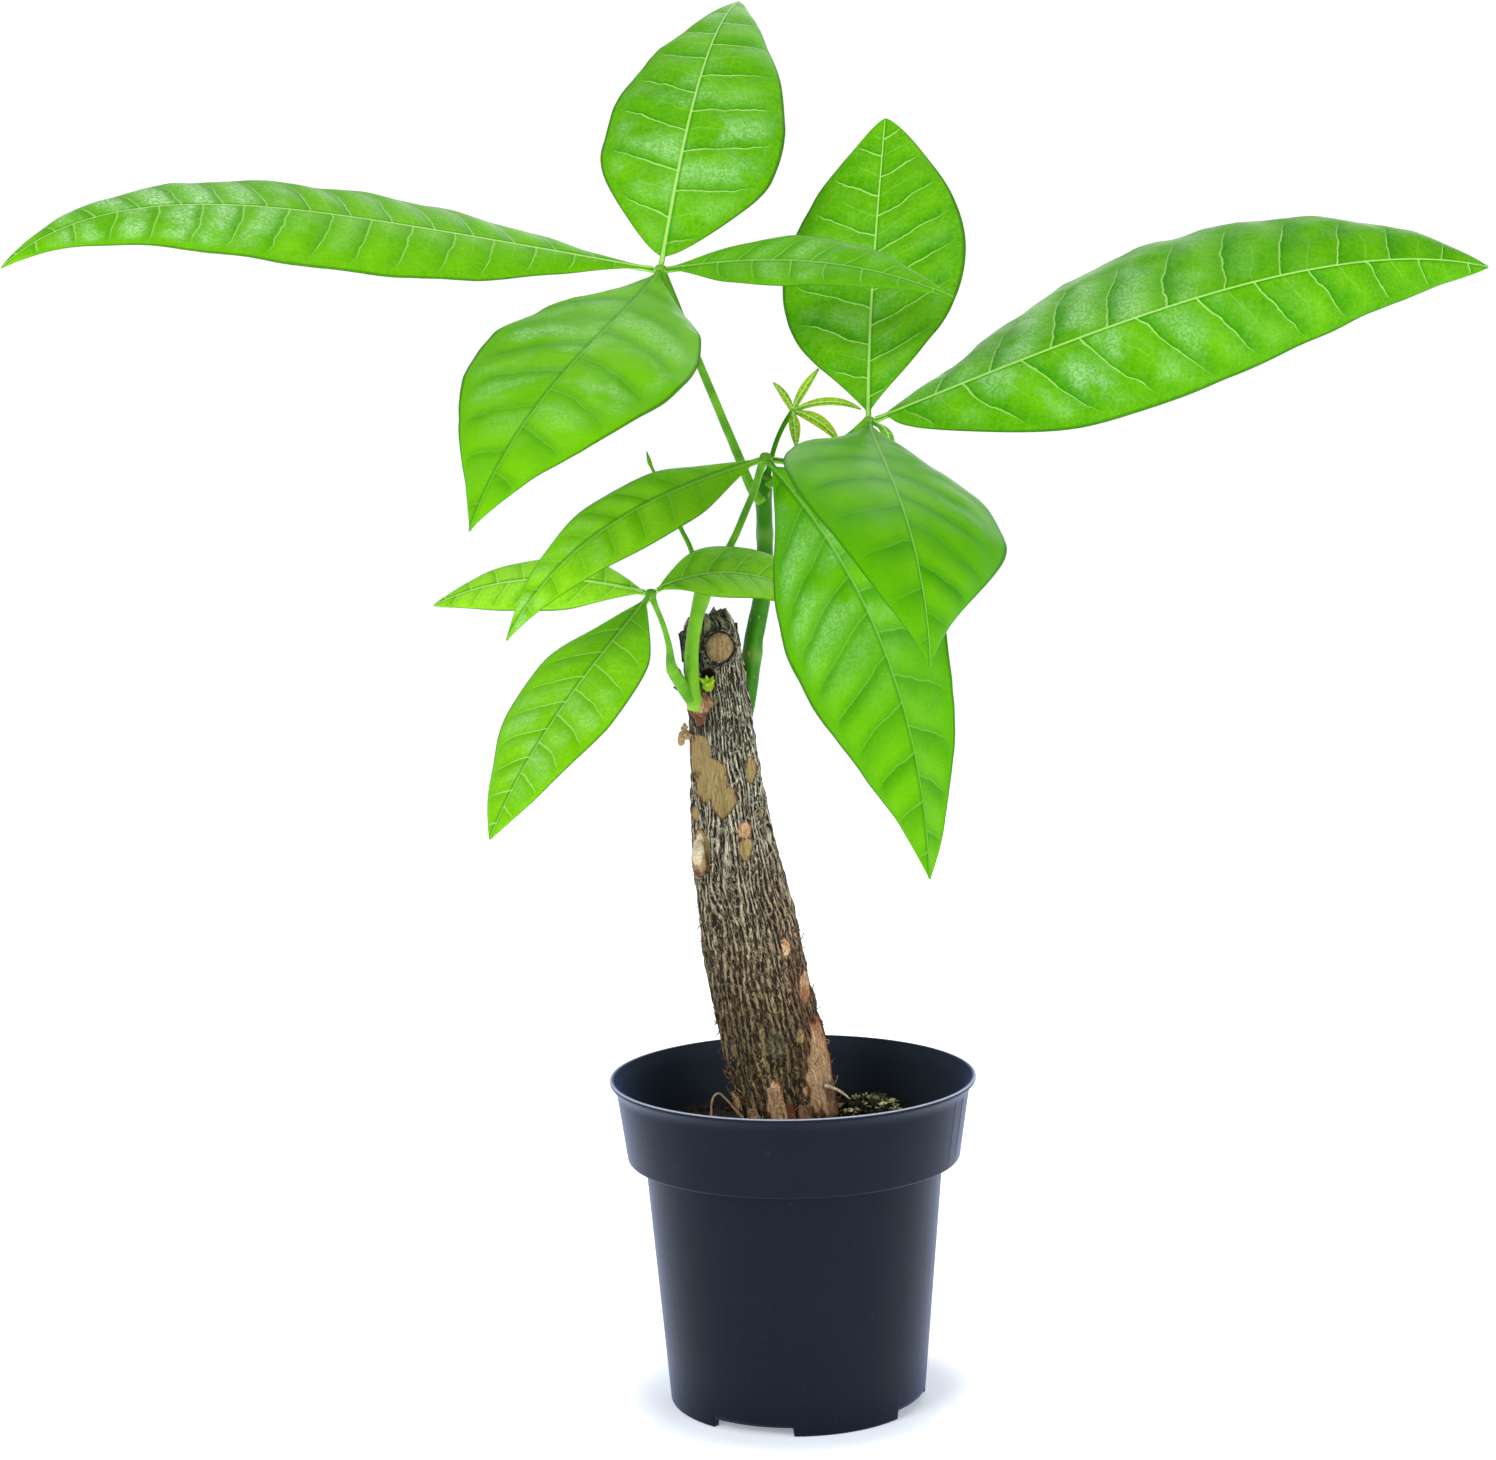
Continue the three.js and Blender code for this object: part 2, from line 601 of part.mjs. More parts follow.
function bladeSection(leaflet, { share, middle }) {
  const along = midribDirection(leaflet, share);
  const side = new THREE.Vector3().crossVectors(along, new THREE.Vector3(0, 0, 1)).normalize();
  const lift = new THREE.Vector3().crossVectors(side, along);
  const bank = rad(leaflet.roll + leaflet.twist * share);
  const across = side.multiplyScalar(Math.cos(bank)).addScaledVector(lift, Math.sin(bank));
  const up = new THREE.Vector3().crossVectors(across, along);
  const [fold, curl] = [rad(leaflet.fold), rad(leaflet.curl)];
  const half = halfWidth(leaflet, share);
  const stalk = Math.max(0, 1 - (share * leaflet.length) / BLADE.stalkLength);
  const upper = [];
  const lower = [];
  for (const column of BLADE.columns) {
    const [hand, out] = [Math.sign(column), Math.abs(column)];
    const width = half * (1 + hand * leaflet.skew);
    const slope = fold - curl * out;
    const wave = BLADE.waveDepth * out ** 2 * Math.min(1, half / 10)
      * Math.sin((2 * Math.PI * share * leaflet.length) / BLADE.waveLength + hand);
    const skin = middle.clone()
      .addScaledVector(across, (hand * width * (Math.sin(fold) - Math.sin(slope))) / curl)
      .addScaledVector(up, (width * (Math.cos(slope) - Math.cos(fold))) / curl);
    const normal = up.clone().multiplyScalar(Math.cos(slope))
      .addScaledVector(across, -hand * Math.sin(slope));
    const rib = out < 0.2 ? BLADE.ribDepth * (1 - 0.8 * share) : 0;
    const halfThick = BLADE.thickness / 2 + BLADE.stalkSwell * stalk;
    upper.push(skin.clone().addScaledVector(normal, wave + halfThick));
    lower.push(skin.clone().addScaledVector(normal, wave - halfThick - rib * (1 - stalk * 0.7)));
  }
  return { upper, lower };
}

function blade(leaflet) {
  const sections = bladeRows(leaflet).map((row) => bladeSection(leaflet, row));
  const columns = BLADE.columns.length;
  const under = sections.length * columns;
  const points = [...sections.flatMap((s) => s.upper), ...sections.flatMap((s) => s.lower)];
  const faces = [];
  const quad = (a, b, c, d) => faces.push(a, b, c, a, c, d);
  for (let row = 0; row < sections.length - 1; row += 1) {
    for (let column = 0; column < columns - 1; column += 1) {
      const a = row * columns + column;
      const [b, c, d] = [a + 1, a + columns + 1, a + columns];
      quad(a, b, c, d);
      faces.push(a + under, c + under, b + under, a + under, d + under, c + under);
    }
    const left = row * columns;
    const right = left + columns - 1;
    quad(right, right + under, right + columns + under, right + columns);
    quad(left, left + columns, left + columns + under, left + under);
  }
  const tip = (sections.length - 1) * columns;
  for (let column = 0; column < columns - 1; column += 1) {
    quad(column, column + under, column + under + 1, column + 1);
    quad(tip + column, tip + column + 1, tip + column + 1 + under, tip + column + under);
  }
  const geometry = new THREE.BufferGeometry().setFromPoints(points);
  geometry.setIndex(faces);
  return geometry;
}

// Petioles and shoots: each is cut back from what it grows from, and a leaf's ends in a round head
function head(hub, radius = HUB_RADIUS) {
  return new THREE.IcosahedronGeometry(radius, 1).translate(...hub);
}

function petiole(stations, hub, parent) {
  return mainBody(union([stem(stations), head(hub)]).subtract(parent));
}

function makeYoungLeaf(parent) {
  const leaflets = YOUNG_LEAFLETS.map((shape) => blade({
    hub: HUB.young, bend: 1.2, widest: 0.45, full: 0.9, roll: 0, twist: 0, fold: 25, curl: 20, skew: 0,
    ...shape,
  }));
  const reach = HUB_RADIUS + GAP + 0.4;
  return mainBody(union([stem(YOUNG_LEAF_STEM), head(HUB.young, reach), ...leaflets]).subtract(parent));
}

function makeYoungPetiole(parent) {
  const [x, y, z] = PETIOLE_YOUNG.at(-1);
  return mainBody(union([stem(PETIOLE_YOUNG), lump([x, y, z + 0.6], [0.9, 0.9, 2], 0)])
    .subtract(parent));
}

// A bud that breaks from the bark beside the front shoot
function makeSideBud(parent) {
  return mainBody(toSolid(lump(SIDE_BUD.at, SIDE_BUD.radii)).subtract(parent));
}

// Assembly
const tree = new THREE.Group();

function add(name, shape, colour, roughness) {
  const geometry = shape.isBufferGeometry ? shape : toGeometry(shape);
  const material = new THREE.MeshStandardMaterial({ color: colour, roughness, metalness: 0 });
  const mesh = new THREE.Mesh(geometry, material);
  mesh.name = name;
  tree.add(mesh);
}

const soil = makeSoil();
const trunk = makeTrunk();
const besideTrunk = clearance(trunk);
const backShoot = mainBody(toSolid(stem(SHOOT_BACK, { sides: 12 })).subtract(besideTrunk));
const besideBack = clearance(backShoot).add(besideTrunk);
const frontShoot = mainBody(toSolid(stem(SHOOT_FRONT, { sides: 10 })).subtract(besideTrunk));
const besideFront = clearance(frontShoot).add(besideTrunk);

add('pot', makePot(), COLOURS.pot, 0.42);
add('soil', soil, COLOURS.soil, 0.95);
add('moss', makeMoss(soil), COLOURS.moss, 0.9);
add('trunk', trunk, COLOURS.bark, 0.85);
add('shoot_back', backShoot, COLOURS.darkShoot, 0.45);
add('shoot_front', frontShoot, COLOURS.shoot, 0.45);
add('side_bud', makeSideBud(besideFront), COLOURS.youngLeaf, 0.45);
add('petiole_a', petiole(PETIOLE_A, HUB.a, besideBack), COLOURS.shoot, 0.45);
add('petiole_b', petiole(PETIOLE_B, HUB.b, besideBack), COLOURS.shoot, 0.45);
add('petiole_c', petiole(PETIOLE_C, HUB.c, besideFront), COLOURS.shoot, 0.45);
add('petiole_d', petiole(PETIOLE_D, HUB.d, besideFront), COLOURS.shoot, 0.45);
add('petiole_young', makeYoungPetiole(besideFront), COLOURS.shoot, 0.45);
add('young_leaf', makeYoungLeaf(besideBack), COLOURS.youngLeaf, 0.45);
for (const [name, leaflet] of Object.entries(LEAFLETS)) {
  add(name, blade(leaflet), name.startsWith('leaf_b') ? COLOURS.darkLeaf : COLOURS.leaf, 0.38);
}

export default tree;
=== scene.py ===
"""Looks of the potted money tree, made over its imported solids.

Shapes are worked out in millimetres, +Z up and front along -Y, and are turned into metres as each mesh is made.
"""

import logging
import math
from dataclasses import dataclass, field, replace
from enum import Enum
from typing import Any, Sequence

import bpy
import numpy as np
from mathutils import Matrix, Vector


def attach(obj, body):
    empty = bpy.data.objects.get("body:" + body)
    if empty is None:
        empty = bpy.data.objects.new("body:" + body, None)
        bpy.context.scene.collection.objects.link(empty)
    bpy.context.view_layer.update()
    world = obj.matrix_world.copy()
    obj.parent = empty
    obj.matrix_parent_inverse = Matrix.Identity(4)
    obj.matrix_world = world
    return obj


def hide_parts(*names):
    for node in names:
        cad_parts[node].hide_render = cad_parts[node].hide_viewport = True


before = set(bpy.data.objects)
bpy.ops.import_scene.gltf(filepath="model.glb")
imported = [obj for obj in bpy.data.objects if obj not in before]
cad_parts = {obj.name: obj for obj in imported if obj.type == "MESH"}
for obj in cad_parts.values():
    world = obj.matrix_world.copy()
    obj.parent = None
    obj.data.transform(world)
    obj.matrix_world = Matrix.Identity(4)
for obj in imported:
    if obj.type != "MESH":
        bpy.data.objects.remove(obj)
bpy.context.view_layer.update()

log = logging.getLogger("money_tree")

MM = 0.001
RIDGES = 46          # of bark, round the trunk
LATTICE = 32         # cells along each side of the noise, a power of two
LAYER_SHIFT = 17.3   # how far each finer layer of noise is moved

Point = tuple[float, float, float]
Colour = tuple[float, float, float]
Station = tuple[float, float, float, float]
Patch = tuple[str, float, float, float, float, float]
Levels = np.ndarray | float


def paint(red: int, green: int, blue: int) -> Colour:
    """Turns a paint chart colour into the linear colour that shaders use.

    Args:
        red: from 0 to 255.
        green: from 0 to 255.
        blue: from 0 to 255.

    Returns:
        The same colour as three linear channels.
    """
    channels = (channel / 255 for channel in (red, green, blue))
    return tuple(level / 12.92 if level <= 0.04045 else ((level + 0.055) / 1.055) ** 2.4 for level in channels)


def ease(value: Levels, low: float, high: float) -> np.ndarray:
    """Rises smoothly from 0 at low to 1 at high."""
    share = np.clip((np.asarray(value, float) - low) / (high - low), 0, 1)
    return share * share * (3 - 2 * share)


def unit(rows: np.ndarray) -> np.ndarray:
    """Vectors of length 1 along the last axis."""
    return rows / np.maximum(np.linalg.norm(rows, axis=-1, keepdims=True), 1e-9)


def circle(count: int) -> np.ndarray:
    """Evenly spaced angles round a full turn."""
    return np.linspace(0, math.tau, count, endpoint=False)


def around(turn: Levels, reach: Levels, z: Levels, x: Levels = 0.0, y: Levels = 0.0) -> np.ndarray:
    """Points round an upright line.

    Args:
        turn: their angles about the line, in radians.
        reach: how far out they are.
        z: how high they are.
        x: how far to the right the line is.
        y: how far back the line is.

    Returns:
        A point for each of them, with x, y, z on the last axis.
    """
    return np.stack(np.broadcast_arrays(x + reach * np.cos(turn), y + reach * np.sin(turn), z), -1)


def pointing(turn: Levels, slope: Levels) -> np.ndarray:
    """Vectors of length 1 that head along turn and rise by slope, both in radians."""
    return np.stack([np.cos(slope) * np.cos(turn), np.cos(slope) * np.sin(turn), np.sin(slope)], -1)


class Grain:
    """Smooth noise in space, about -1 to 1, the same on every run."""

    def __init__(self, seed: int) -> None:
        """Fills the lattice of random levels."""
        self.levels = np.random.default_rng(seed).uniform(-1, 1, (LATTICE, LATTICE, LATTICE))

    def at(self, points: np.ndarray, size: float | Sequence[float]) -> np.ndarray:
        """Noise whose lumps are about as large as size.

        Args:
            points: places, with x, y, z on the last axis.
            size: the size of a lump, one number or one for each direction.

        Returns:
            One level for each place.
        """
        place = np.asarray(points, float) / np.asarray(size, float)
        cell = np.floor(place).astype(int)
        part = place - cell
        part = part * part * (3 - 2 * part)
        total = np.zeros(place.shape[:-1])
        for dx in (0, 1):
            for dy in (0, 1):
                for dz in (0, 1):
                    share = (
                        (part[..., 0] if dx else 1 - part[..., 0])
                        * (part[..., 1] if dy else 1 - part[..., 1])
                        * (part[..., 2] if dz else 1 - part[..., 2])
                    )
                    corner = (cell + (dx, dy, dz)) & (LATTICE - 1)
                    total += share * self.levels[corner[..., 0], corner[..., 1], corner[..., 2]]
        return total

    def layered(self, points: np.ndarray, size: float | Sequence[float], layers: int = 3) -> np.ndarray:
        """Noise with finer noise on it, each layer half the size and half the height.

        Args:
            points: places, with x, y, z on the last axis.
            size: the size of the largest lumps.
            layers: how many sizes are added up.

        Returns:
            One level for each place.
        """
        size = np.asarray(size, float)
        return sum(self.at(points + LAYER_SHIFT * k, size / 2**k) / 2**k for k in range(layers))


# Shader maths

class Value:
    """A shader socket that Python's operators work on, each adding the Math node it needs."""

    def __init__(self, graph: "Graph", socket: bpy.types.NodeSocket) -> None:
        """Wraps one output socket of a graph's node."""
        self.graph = graph
        self.socket = socket

    def __add__(self, other: "Value | float") -> "Value":
        """self + other."""
        return self.graph.math("ADD", self, other)

    def __sub__(self, other: "Value | float") -> "Value":
        """self - other."""
        return self.graph.math("SUBTRACT", self, other)

    def __rsub__(self, other: "Value | float") -> "Value":
        """other - self."""
        return self.graph.math("SUBTRACT", other, self)

    def __mul__(self, other: "Value | float") -> "Value":
        """self * other."""
        return self.graph.math("MULTIPLY", self, other)

    def __abs__(self) -> "Value":
        """The size of self without its sign."""
        return self.graph.math("ABSOLUTE", self)

    __radd__ = __add__
    __rmul__ = __mul__


class Graph:
    """The nodes of a material or of the world while they are being made."""

    def __init__(self, tree: bpy.types.NodeTree) -> None:
        """Starts on a node tree."""
        self.nodes = tree.nodes
        self.links = tree.links

    def give(self, node: bpy.types.Node, socket: str | int, given: Any) -> None:
        """Sets or links one input of a node.

        Args:
            node: the node.
            socket: the input's name or number.
            given: a number, a colour, a vector or a Value.
        """
        target = node.inputs[socket]
        if isinstance(given, Value):
            self.links.new(given.socket, target)
        elif isinstance(given, tuple) and target.type == "RGBA":
            target.default_value = (*given, 1)
        else:
            target.default_value = given

    def node(self, kind: str, settings: dict[str, Any] | None = None,
             inputs: dict[str | int, Any] | None = None, output: str | int = 0) -> Value:
        """Adds a node.

        Args:
            kind: the node's type without its ShaderNode prefix.
            settings: what is set on the node itself, first.
            inputs: what each input socket is given, by name or number.
            output: the socket that is handed back.

        Returns:
            That output.
        """
        made = self.nodes.new("ShaderNode" + kind)
        for setting, choice in (settings or {}).items():
            setattr(made, setting, choice)
        for socket, given in (inputs or {}).items():
            self.give(made, socket, given)
        return Value(self, made.outputs[output])

    def math(self, operation: str, *terms: Value | float) -> Value:
        """Adds a Math node on one to three terms."""
        return self.node("Math", {"operation": operation}, dict(enumerate(terms)))

    def smooth(self, value: Value, low: Value | float, high: Value | float,
               before: float = 0.0, after: float = 1.0) -> Value:
        """Goes smoothly from before, where value is low, to after, where it is high."""
        return self.node("MapRange", {"interpolation_type": "SMOOTHSTEP"}, {
            "Value": value, "From Min": low, "From Max": high, "To Min": before, "To Max": after})

    def mix(self, share: Value | float, low: Value | Colour, high: Value | Colour) -> Value:
        """A colour between two others: low where share is 0, high where it is 1."""
        return self.node("Mix", {"data_type": "RGBA"}, {0: share, 6: low, 7: high}, 2)

    def coats(self, ground: Value | Colour, *coats: tuple[Value | float, Value | Colour]) -> Value:
        """Lays coats of colour over a ground, one after the other.

        Args:
            ground: the colour under them.
            coats: how much of the ground each covers, and its colour.

        Returns:
            The colour that shows.
        """
        for share, colour in coats:
            ground = self.mix(share, ground, colour)
        return ground

    def axis(self, place: Value, letter: str) -> Value:
        """One coordinate of a place, by its capital letter."""
        return self.node("SeparateXYZ", {}, {0: place}, letter)


class Finish(Graph):
    """One material while it is being made."""

    def __init__(self, name: str, **fixed: float | Colour) -> None:
        """Starts a material.

        Args:
            name: its name.
            fixed: the shader's settings that are the same all over, by socket name with _ for a space.
        """
        self.material = bpy.data.materials.new(name)
        self.material.use_nodes = True
        super().__init__(self.material.node_tree)
        self.shader = self.nodes["Principled BSDF"]
        for socket, given in fixed.items():
            self.give(self.shader, socket.replace("_", " "), given)

    def number(self, name: str) -> Value:
        """A number stored at the mesh's points."""
        return self.node("Attribute", {"attribute_name": name}, output="Fac")

    def stored_place(self, name: str) -> Value:
        """A place in millimetres stored at the mesh's points."""
        return self.node("Attribute", {"attribute_name": name}, output="Vector")

    def place(self) -> Value:
        """Where a point is, in metres."""
        return self.node("TexCoord", output="Object")

    def stretch(self, place: Value, size: Point) -> Value:
        """Scales a place by a number in each direction."""
        return self.node("VectorMath", {"operation": "MULTIPLY"}, {0: place, 1: size})

    def noise(self, place: Value, scale: float = 1.0, detail: float = 2.0, rough: float = 0.5) -> Value:
        """Cloudy noise from 0 to 1."""
        return self.node("TexNoise", {}, {"Vector": place, "Scale": scale, "Detail": detail, "Roughness": rough})

    def warp(self, place: Value, scale: float, reach: Point) -> Value:
        """Moves a place about by noise.

        Args:
            place: the place.
            scale: how fine the noise is.
            reach: twice the furthest it moves in each direction.

        Returns:
            The place it is moved to.
        """
        push = self.node("TexNoise", {}, {"Vector": place, "Scale": scale, "Detail": 2.0}, "Color")
        centred = self.node("VectorMath", {"operation": "SUBTRACT"}, {0: push, 1: (0.5, 0.5, 0.5)})
        return self.node("VectorMath", {"operation": "MULTIPLY_ADD"}, {0: centred, 1: reach, 2: place})

    def cracks(self, place: Value, scale: float = 1.0) -> Value:
        """Distance from the nearest edge between cells."""
        return self.node("TexVoronoi", {"feature": "DISTANCE_TO_EDGE"}, {"Vector": place, "Scale": scale})

    def feed(self, colour: Value | Colour, rough: Value | float, height: Value | None = None,
             depth: float = 0.0002, strength: float = 1.0) -> bpy.types.Material:
        """Connects what was worked out to the shader.

        Args:
            colour: the base colour.
            rough: the roughness.
            height: relief from 0 to 1, if there is any.
            depth: how deep a relief of 1 is, in metres.
            strength: how much of the relief is felt.

        Returns:
            The finished material.
        """
        self.give(self.shader, "Base Color", colour)
        self.give(self.shader, "Roughness", rough)
        if height is not None:
            bump = self.node("Bump", {}, {"Height": height, "Distance": depth, "Strength": strength})
            self.give(self.shader, "Normal", bump)
        return self.material


class LeafLines:
    """The side veins of a blade, the painted shade in the grooves beside them and its midrib, from the numbers stored
    in its mesh.
    """

    def __init__(self, f: Finish) -> None:
        """Works them out.

        Args:
            f: the finish that they are for.
        """
        self.out = out = abs(f.number("across"))
        self.share, self.clear, self.under = (f.number(name) for name in ("share", "clear", "under"))
        spacing = f.number("spacing")
        right = f.math("GREATER_THAN", f.number("across"), 0.0)
        drift = f.noise(f.place(), 60, 2) + f.noise(f.place(), 260, 2) * 0.3 - 0.65
        phase = f.number("run") - f.number("lean") + right * 0.5 + drift * 0.34

        # How far a point is along the gap between two side veins, from a vein and from the middle between them
        self.part = part = f.math("FRACT", phase)
        self.beside = beside = (0.5 - abs(part - 0.5)) * spacing
        between = abs(part - 0.5) * spacing
        within = (1 - f.smooth(out, 0.66, 0.93)) * f.smooth(self.share, 0.03, 0.09)
        reach = 0.28 - out * 0.16
        self.veins = (1 - f.smooth(beside, reach * 0.4, reach * 1.3)) * within * self.clear
        wide = f.smooth(spacing, 6, 15) * 0.75 + 0.25
        # Painted shade in the grooves beside the side veins: a crisp dark line on one side where the veins are clear,
        # a soft darkening round them where they are faint.
        crisp = (1 - f.smooth(part * spacing, reach, 1.6)) * self.clear * wide * 0.85
        soft = (1 - f.smooth(beside, 0.0, 2.8)) * (1 - self.clear) * wide * 0.42
        self.painted_groove_shade = (crisp + soft) * within
        self.faint = (1 - f.smooth(between, 0.05, 0.3)) * (1 - f.smooth(out, 0.35, 0.6)) * within

        middle = out * f.number("half")
        thick = 0.62 - self.share * 0.4
        self.rib = 1 - f.smooth(middle, thick * 0.5, thick)
        # Painted shade along the sides of the midrib, more on one side.
        self.painted_rib_shade = (1 - f.smooth(middle, thick, thick + 1.0)) * (0.25 + right * 0.4)


@dataclass(frozen=True)
class LeafFinish:
    """A leaflet's skin: veins, a fine net between them, a pale midrib and a paler underside, with painted shade in
    the grooves and across the quilts between veins, painted light on leaflets that face away from the lamps, and a
    speckled whitish painted sheen.
    """

    name: str = "leaf_skin"
    deep: Colour = paint(62, 144, 2)
    bright: Colour = paint(113, 188, 6)
    young: Colour = paint(152, 216, 40)
    vein: Colour = paint(186, 230, 120)
    # The colour of the painted sheen, a whitish highlight.
    painted_sheen_colour: Colour = paint(186, 228, 166)
    # The colour of the painted shade beside the veins and midrib, and of a deeper tone.
    shade: Colour = paint(44, 128, 4)
    margin: Colour = paint(30, 76, 6)
    underside: Colour = paint(108, 170, 56)
    rough: float = 0.3
    relief: float = 0.00035

    def make(self) -> bpy.types.Material:
        """Builds the material.

        Returns:
            The leaf material, which reads the numbers stored in each blade's mesh.
        """
        f = Finish(self.name, Specular_IOR_Level=0.09, Specular_Tint=(0.75, 1.0, 0.25))
        here, on = f.place(), LeafLines(f)
        net = 1 - f.smooth(f.cracks(f.warp(here, 300, (0.002, 0.002, 0.002)), 330), 0.0, 0.1)
        pebbles = f.smooth(f.cracks(f.warp(here, 500, (0.001, 0.001, 0.001)), 1050), 0.0, 0.34)
        speck = f.noise(here, 1200, 3, 0.65)
        fine = f.noise(here, 900, 4, 0.6)
        mottle = f.noise(here, 150, 3, 0.6) + fine - 1.0
        broad = f.noise(here, 34, 2)
        patchy = f.smooth(f.noise(here, 48, 2), 0.3, 0.65)

        edge = 1 - f.smooth(on.out, 0.72, 0.95)
        # Painted shade and light across each quilt between two side veins: dark just beyond a vein, light before the
        # next.
        painted_pillow_shade = f.smooth(on.part, 0.0, 0.6) * (1.0 - 0.4 * f.smooth(on.part, 0.72, 1.0)) - 0.5
        crest = f.smooth(on.part, 0.1, 0.3) * (1 - f.smooth(on.part, 0.5, 0.92))
        # Painted sheen: a whitish highlight laid on in patches over the crests of the quilts, where the leaf is also
        # a little less rough.
        gloss = f.number("gloss") * f.smooth(f.noise(here, 62, 3), 0.4, 0.58) * (0.2 + crest * 0.8) * edge
        # The tone adds up the painted shade across the quilts, random tone and light, the painted lightening of the
        # whole leaflet.
        tone = painted_pillow_shade * edge * f.number("bands") * patchy * 1.5 + broad * 0.5 + fine * 0.18 + f.number("light")
        tone = tone + mottle * on.clear * 0.9
        skin = f.coats(
            f.mix(tone, self.deep, self.bright),
            # Where the tone passes 1, mostly from painted light, the green turns to the young yellow-green.
            (f.smooth(tone, 1.0, 1.6), self.young),
            (f.smooth(on.share, 0.8, 1.05) * 0.4, self.bright),
            (net * on.clear * 0.08, self.vein),
            (on.faint * on.clear * 0.22, self.vein),
            (gloss * (0.25 + f.smooth(speck, 0.42, 0.6) * 0.75) * 0.66, self.painted_sheen_colour),
            # Painted shade beside the side veins and along the midrib.
            (on.painted_groove_shade * 0.72, self.shade),
            (on.painted_rib_shade, self.shade),
            (on.veins * 0.92, self.vein),
            (f.smooth(on.out, 0.95, 0.985) * 0.7, self.margin),
            (on.under, f.mix(on.veins * 0.6 + net * 0.15, self.underside, self.vein)),
            (on.rib * f.number("pale_rib"), self.vein),
            (f.number("tone"), self.shade),
        )
        rough = self.rough + fine * 0.14 + on.veins * 0.1 + on.under * 0.25 - gloss * 0.05
        height = f.smooth(on.beside, 0.1, 2.6) * on.clear * 0.3 - on.veins * 0.22 - on.faint * on.clear * 0.12
        height = height - net * 0.12 + pebbles * 0.12 + fine * 0.1 + speck * 0.05
        return f.feed(skin, rough, height, self.relief, 0.7)


@dataclass(frozen=True)
class StemFinish:
    """The smooth skin of a shoot or a leaf stalk, with pale dots and faint lines along it."""

    name: str
    skin: Colour
    shade: Colour
    dots: Colour
    dotted: float = 0.0
    relief: float = 0.00012

    def make(self) -> bpy.types.Material:
        """Builds the material.

        Returns:
            The stem material; knuckle is stored in the mesh.
        """
        f = Finish(self.name, Specular_IOR_Level=0.24, Specular_Tint=(0.82, 1.0, 0.6))
        here = f.place()
        lines = f.noise(f.stretch(here, (1, 1, 0.12)), 1600, 3)
        cloud = f.noise(here, 160, 2)
        spots = f.node("TexVoronoi", {}, {"Vector": f.stretch(here, (1, 1, 0.55)), "Scale": 340.0})
        dots = (1 - f.smooth(spots, 0.12, 0.2)) * self.dotted
        colour = f.coats(
            f.mix(f.smooth(cloud, 0.3, 0.7), self.shade, self.skin),
            (lines * 0.3, self.skin),
            (f.number("knuckle") * 0.4, self.dots),
            (dots, self.dots),
        )
        height = lines * 0.4 + dots * 0.8 + cloud * 0.3
        return f.feed(colour, 0.34 + lines * 0.16 + dots * 0.2, height, self.relief, 0.7)


class BarkGrain:
    """The noises that the bark's colours and relief share, and where on the trunk a point is."""

    def __init__(self, f: Finish) -> None:
        """Adds them, all read from the place on the straightened rind.

        Args:
            f: the finish that they are for.
        """
        rind = f.stored_place("rind")
        warped = f.warp(rind, 0.16, (3.4, 3.4, 2.0))
        self.x, self.y, self.z = (f.axis(rind, letter) for letter in "XYZ")
        self.fibres = f.noise(f.stretch(warped, (1.3, 1.3, 0.2)), 1.0, 4, 0.58)
        self.threads = f.noise(f.stretch(warped, (2.6, 2.6, 0.34)), 1.0, 4, 0.6)
        self.strokes = f.noise(f.stretch(warped, (1.7, 1.7, 0.62)), 1.0, 3, 0.6)
        self.plates = f.cracks(f.stretch(f.warp(warped, 0.5, (1.2, 1.2, 1.2)), (0.8, 0.8, 0.19)))
        self.broad = f.noise(f.stretch(rind, (0.09, 0.09, 0.05)), 1.0, 3)
        self.specks = f.noise(rind, 1.7, 4, 0.65)


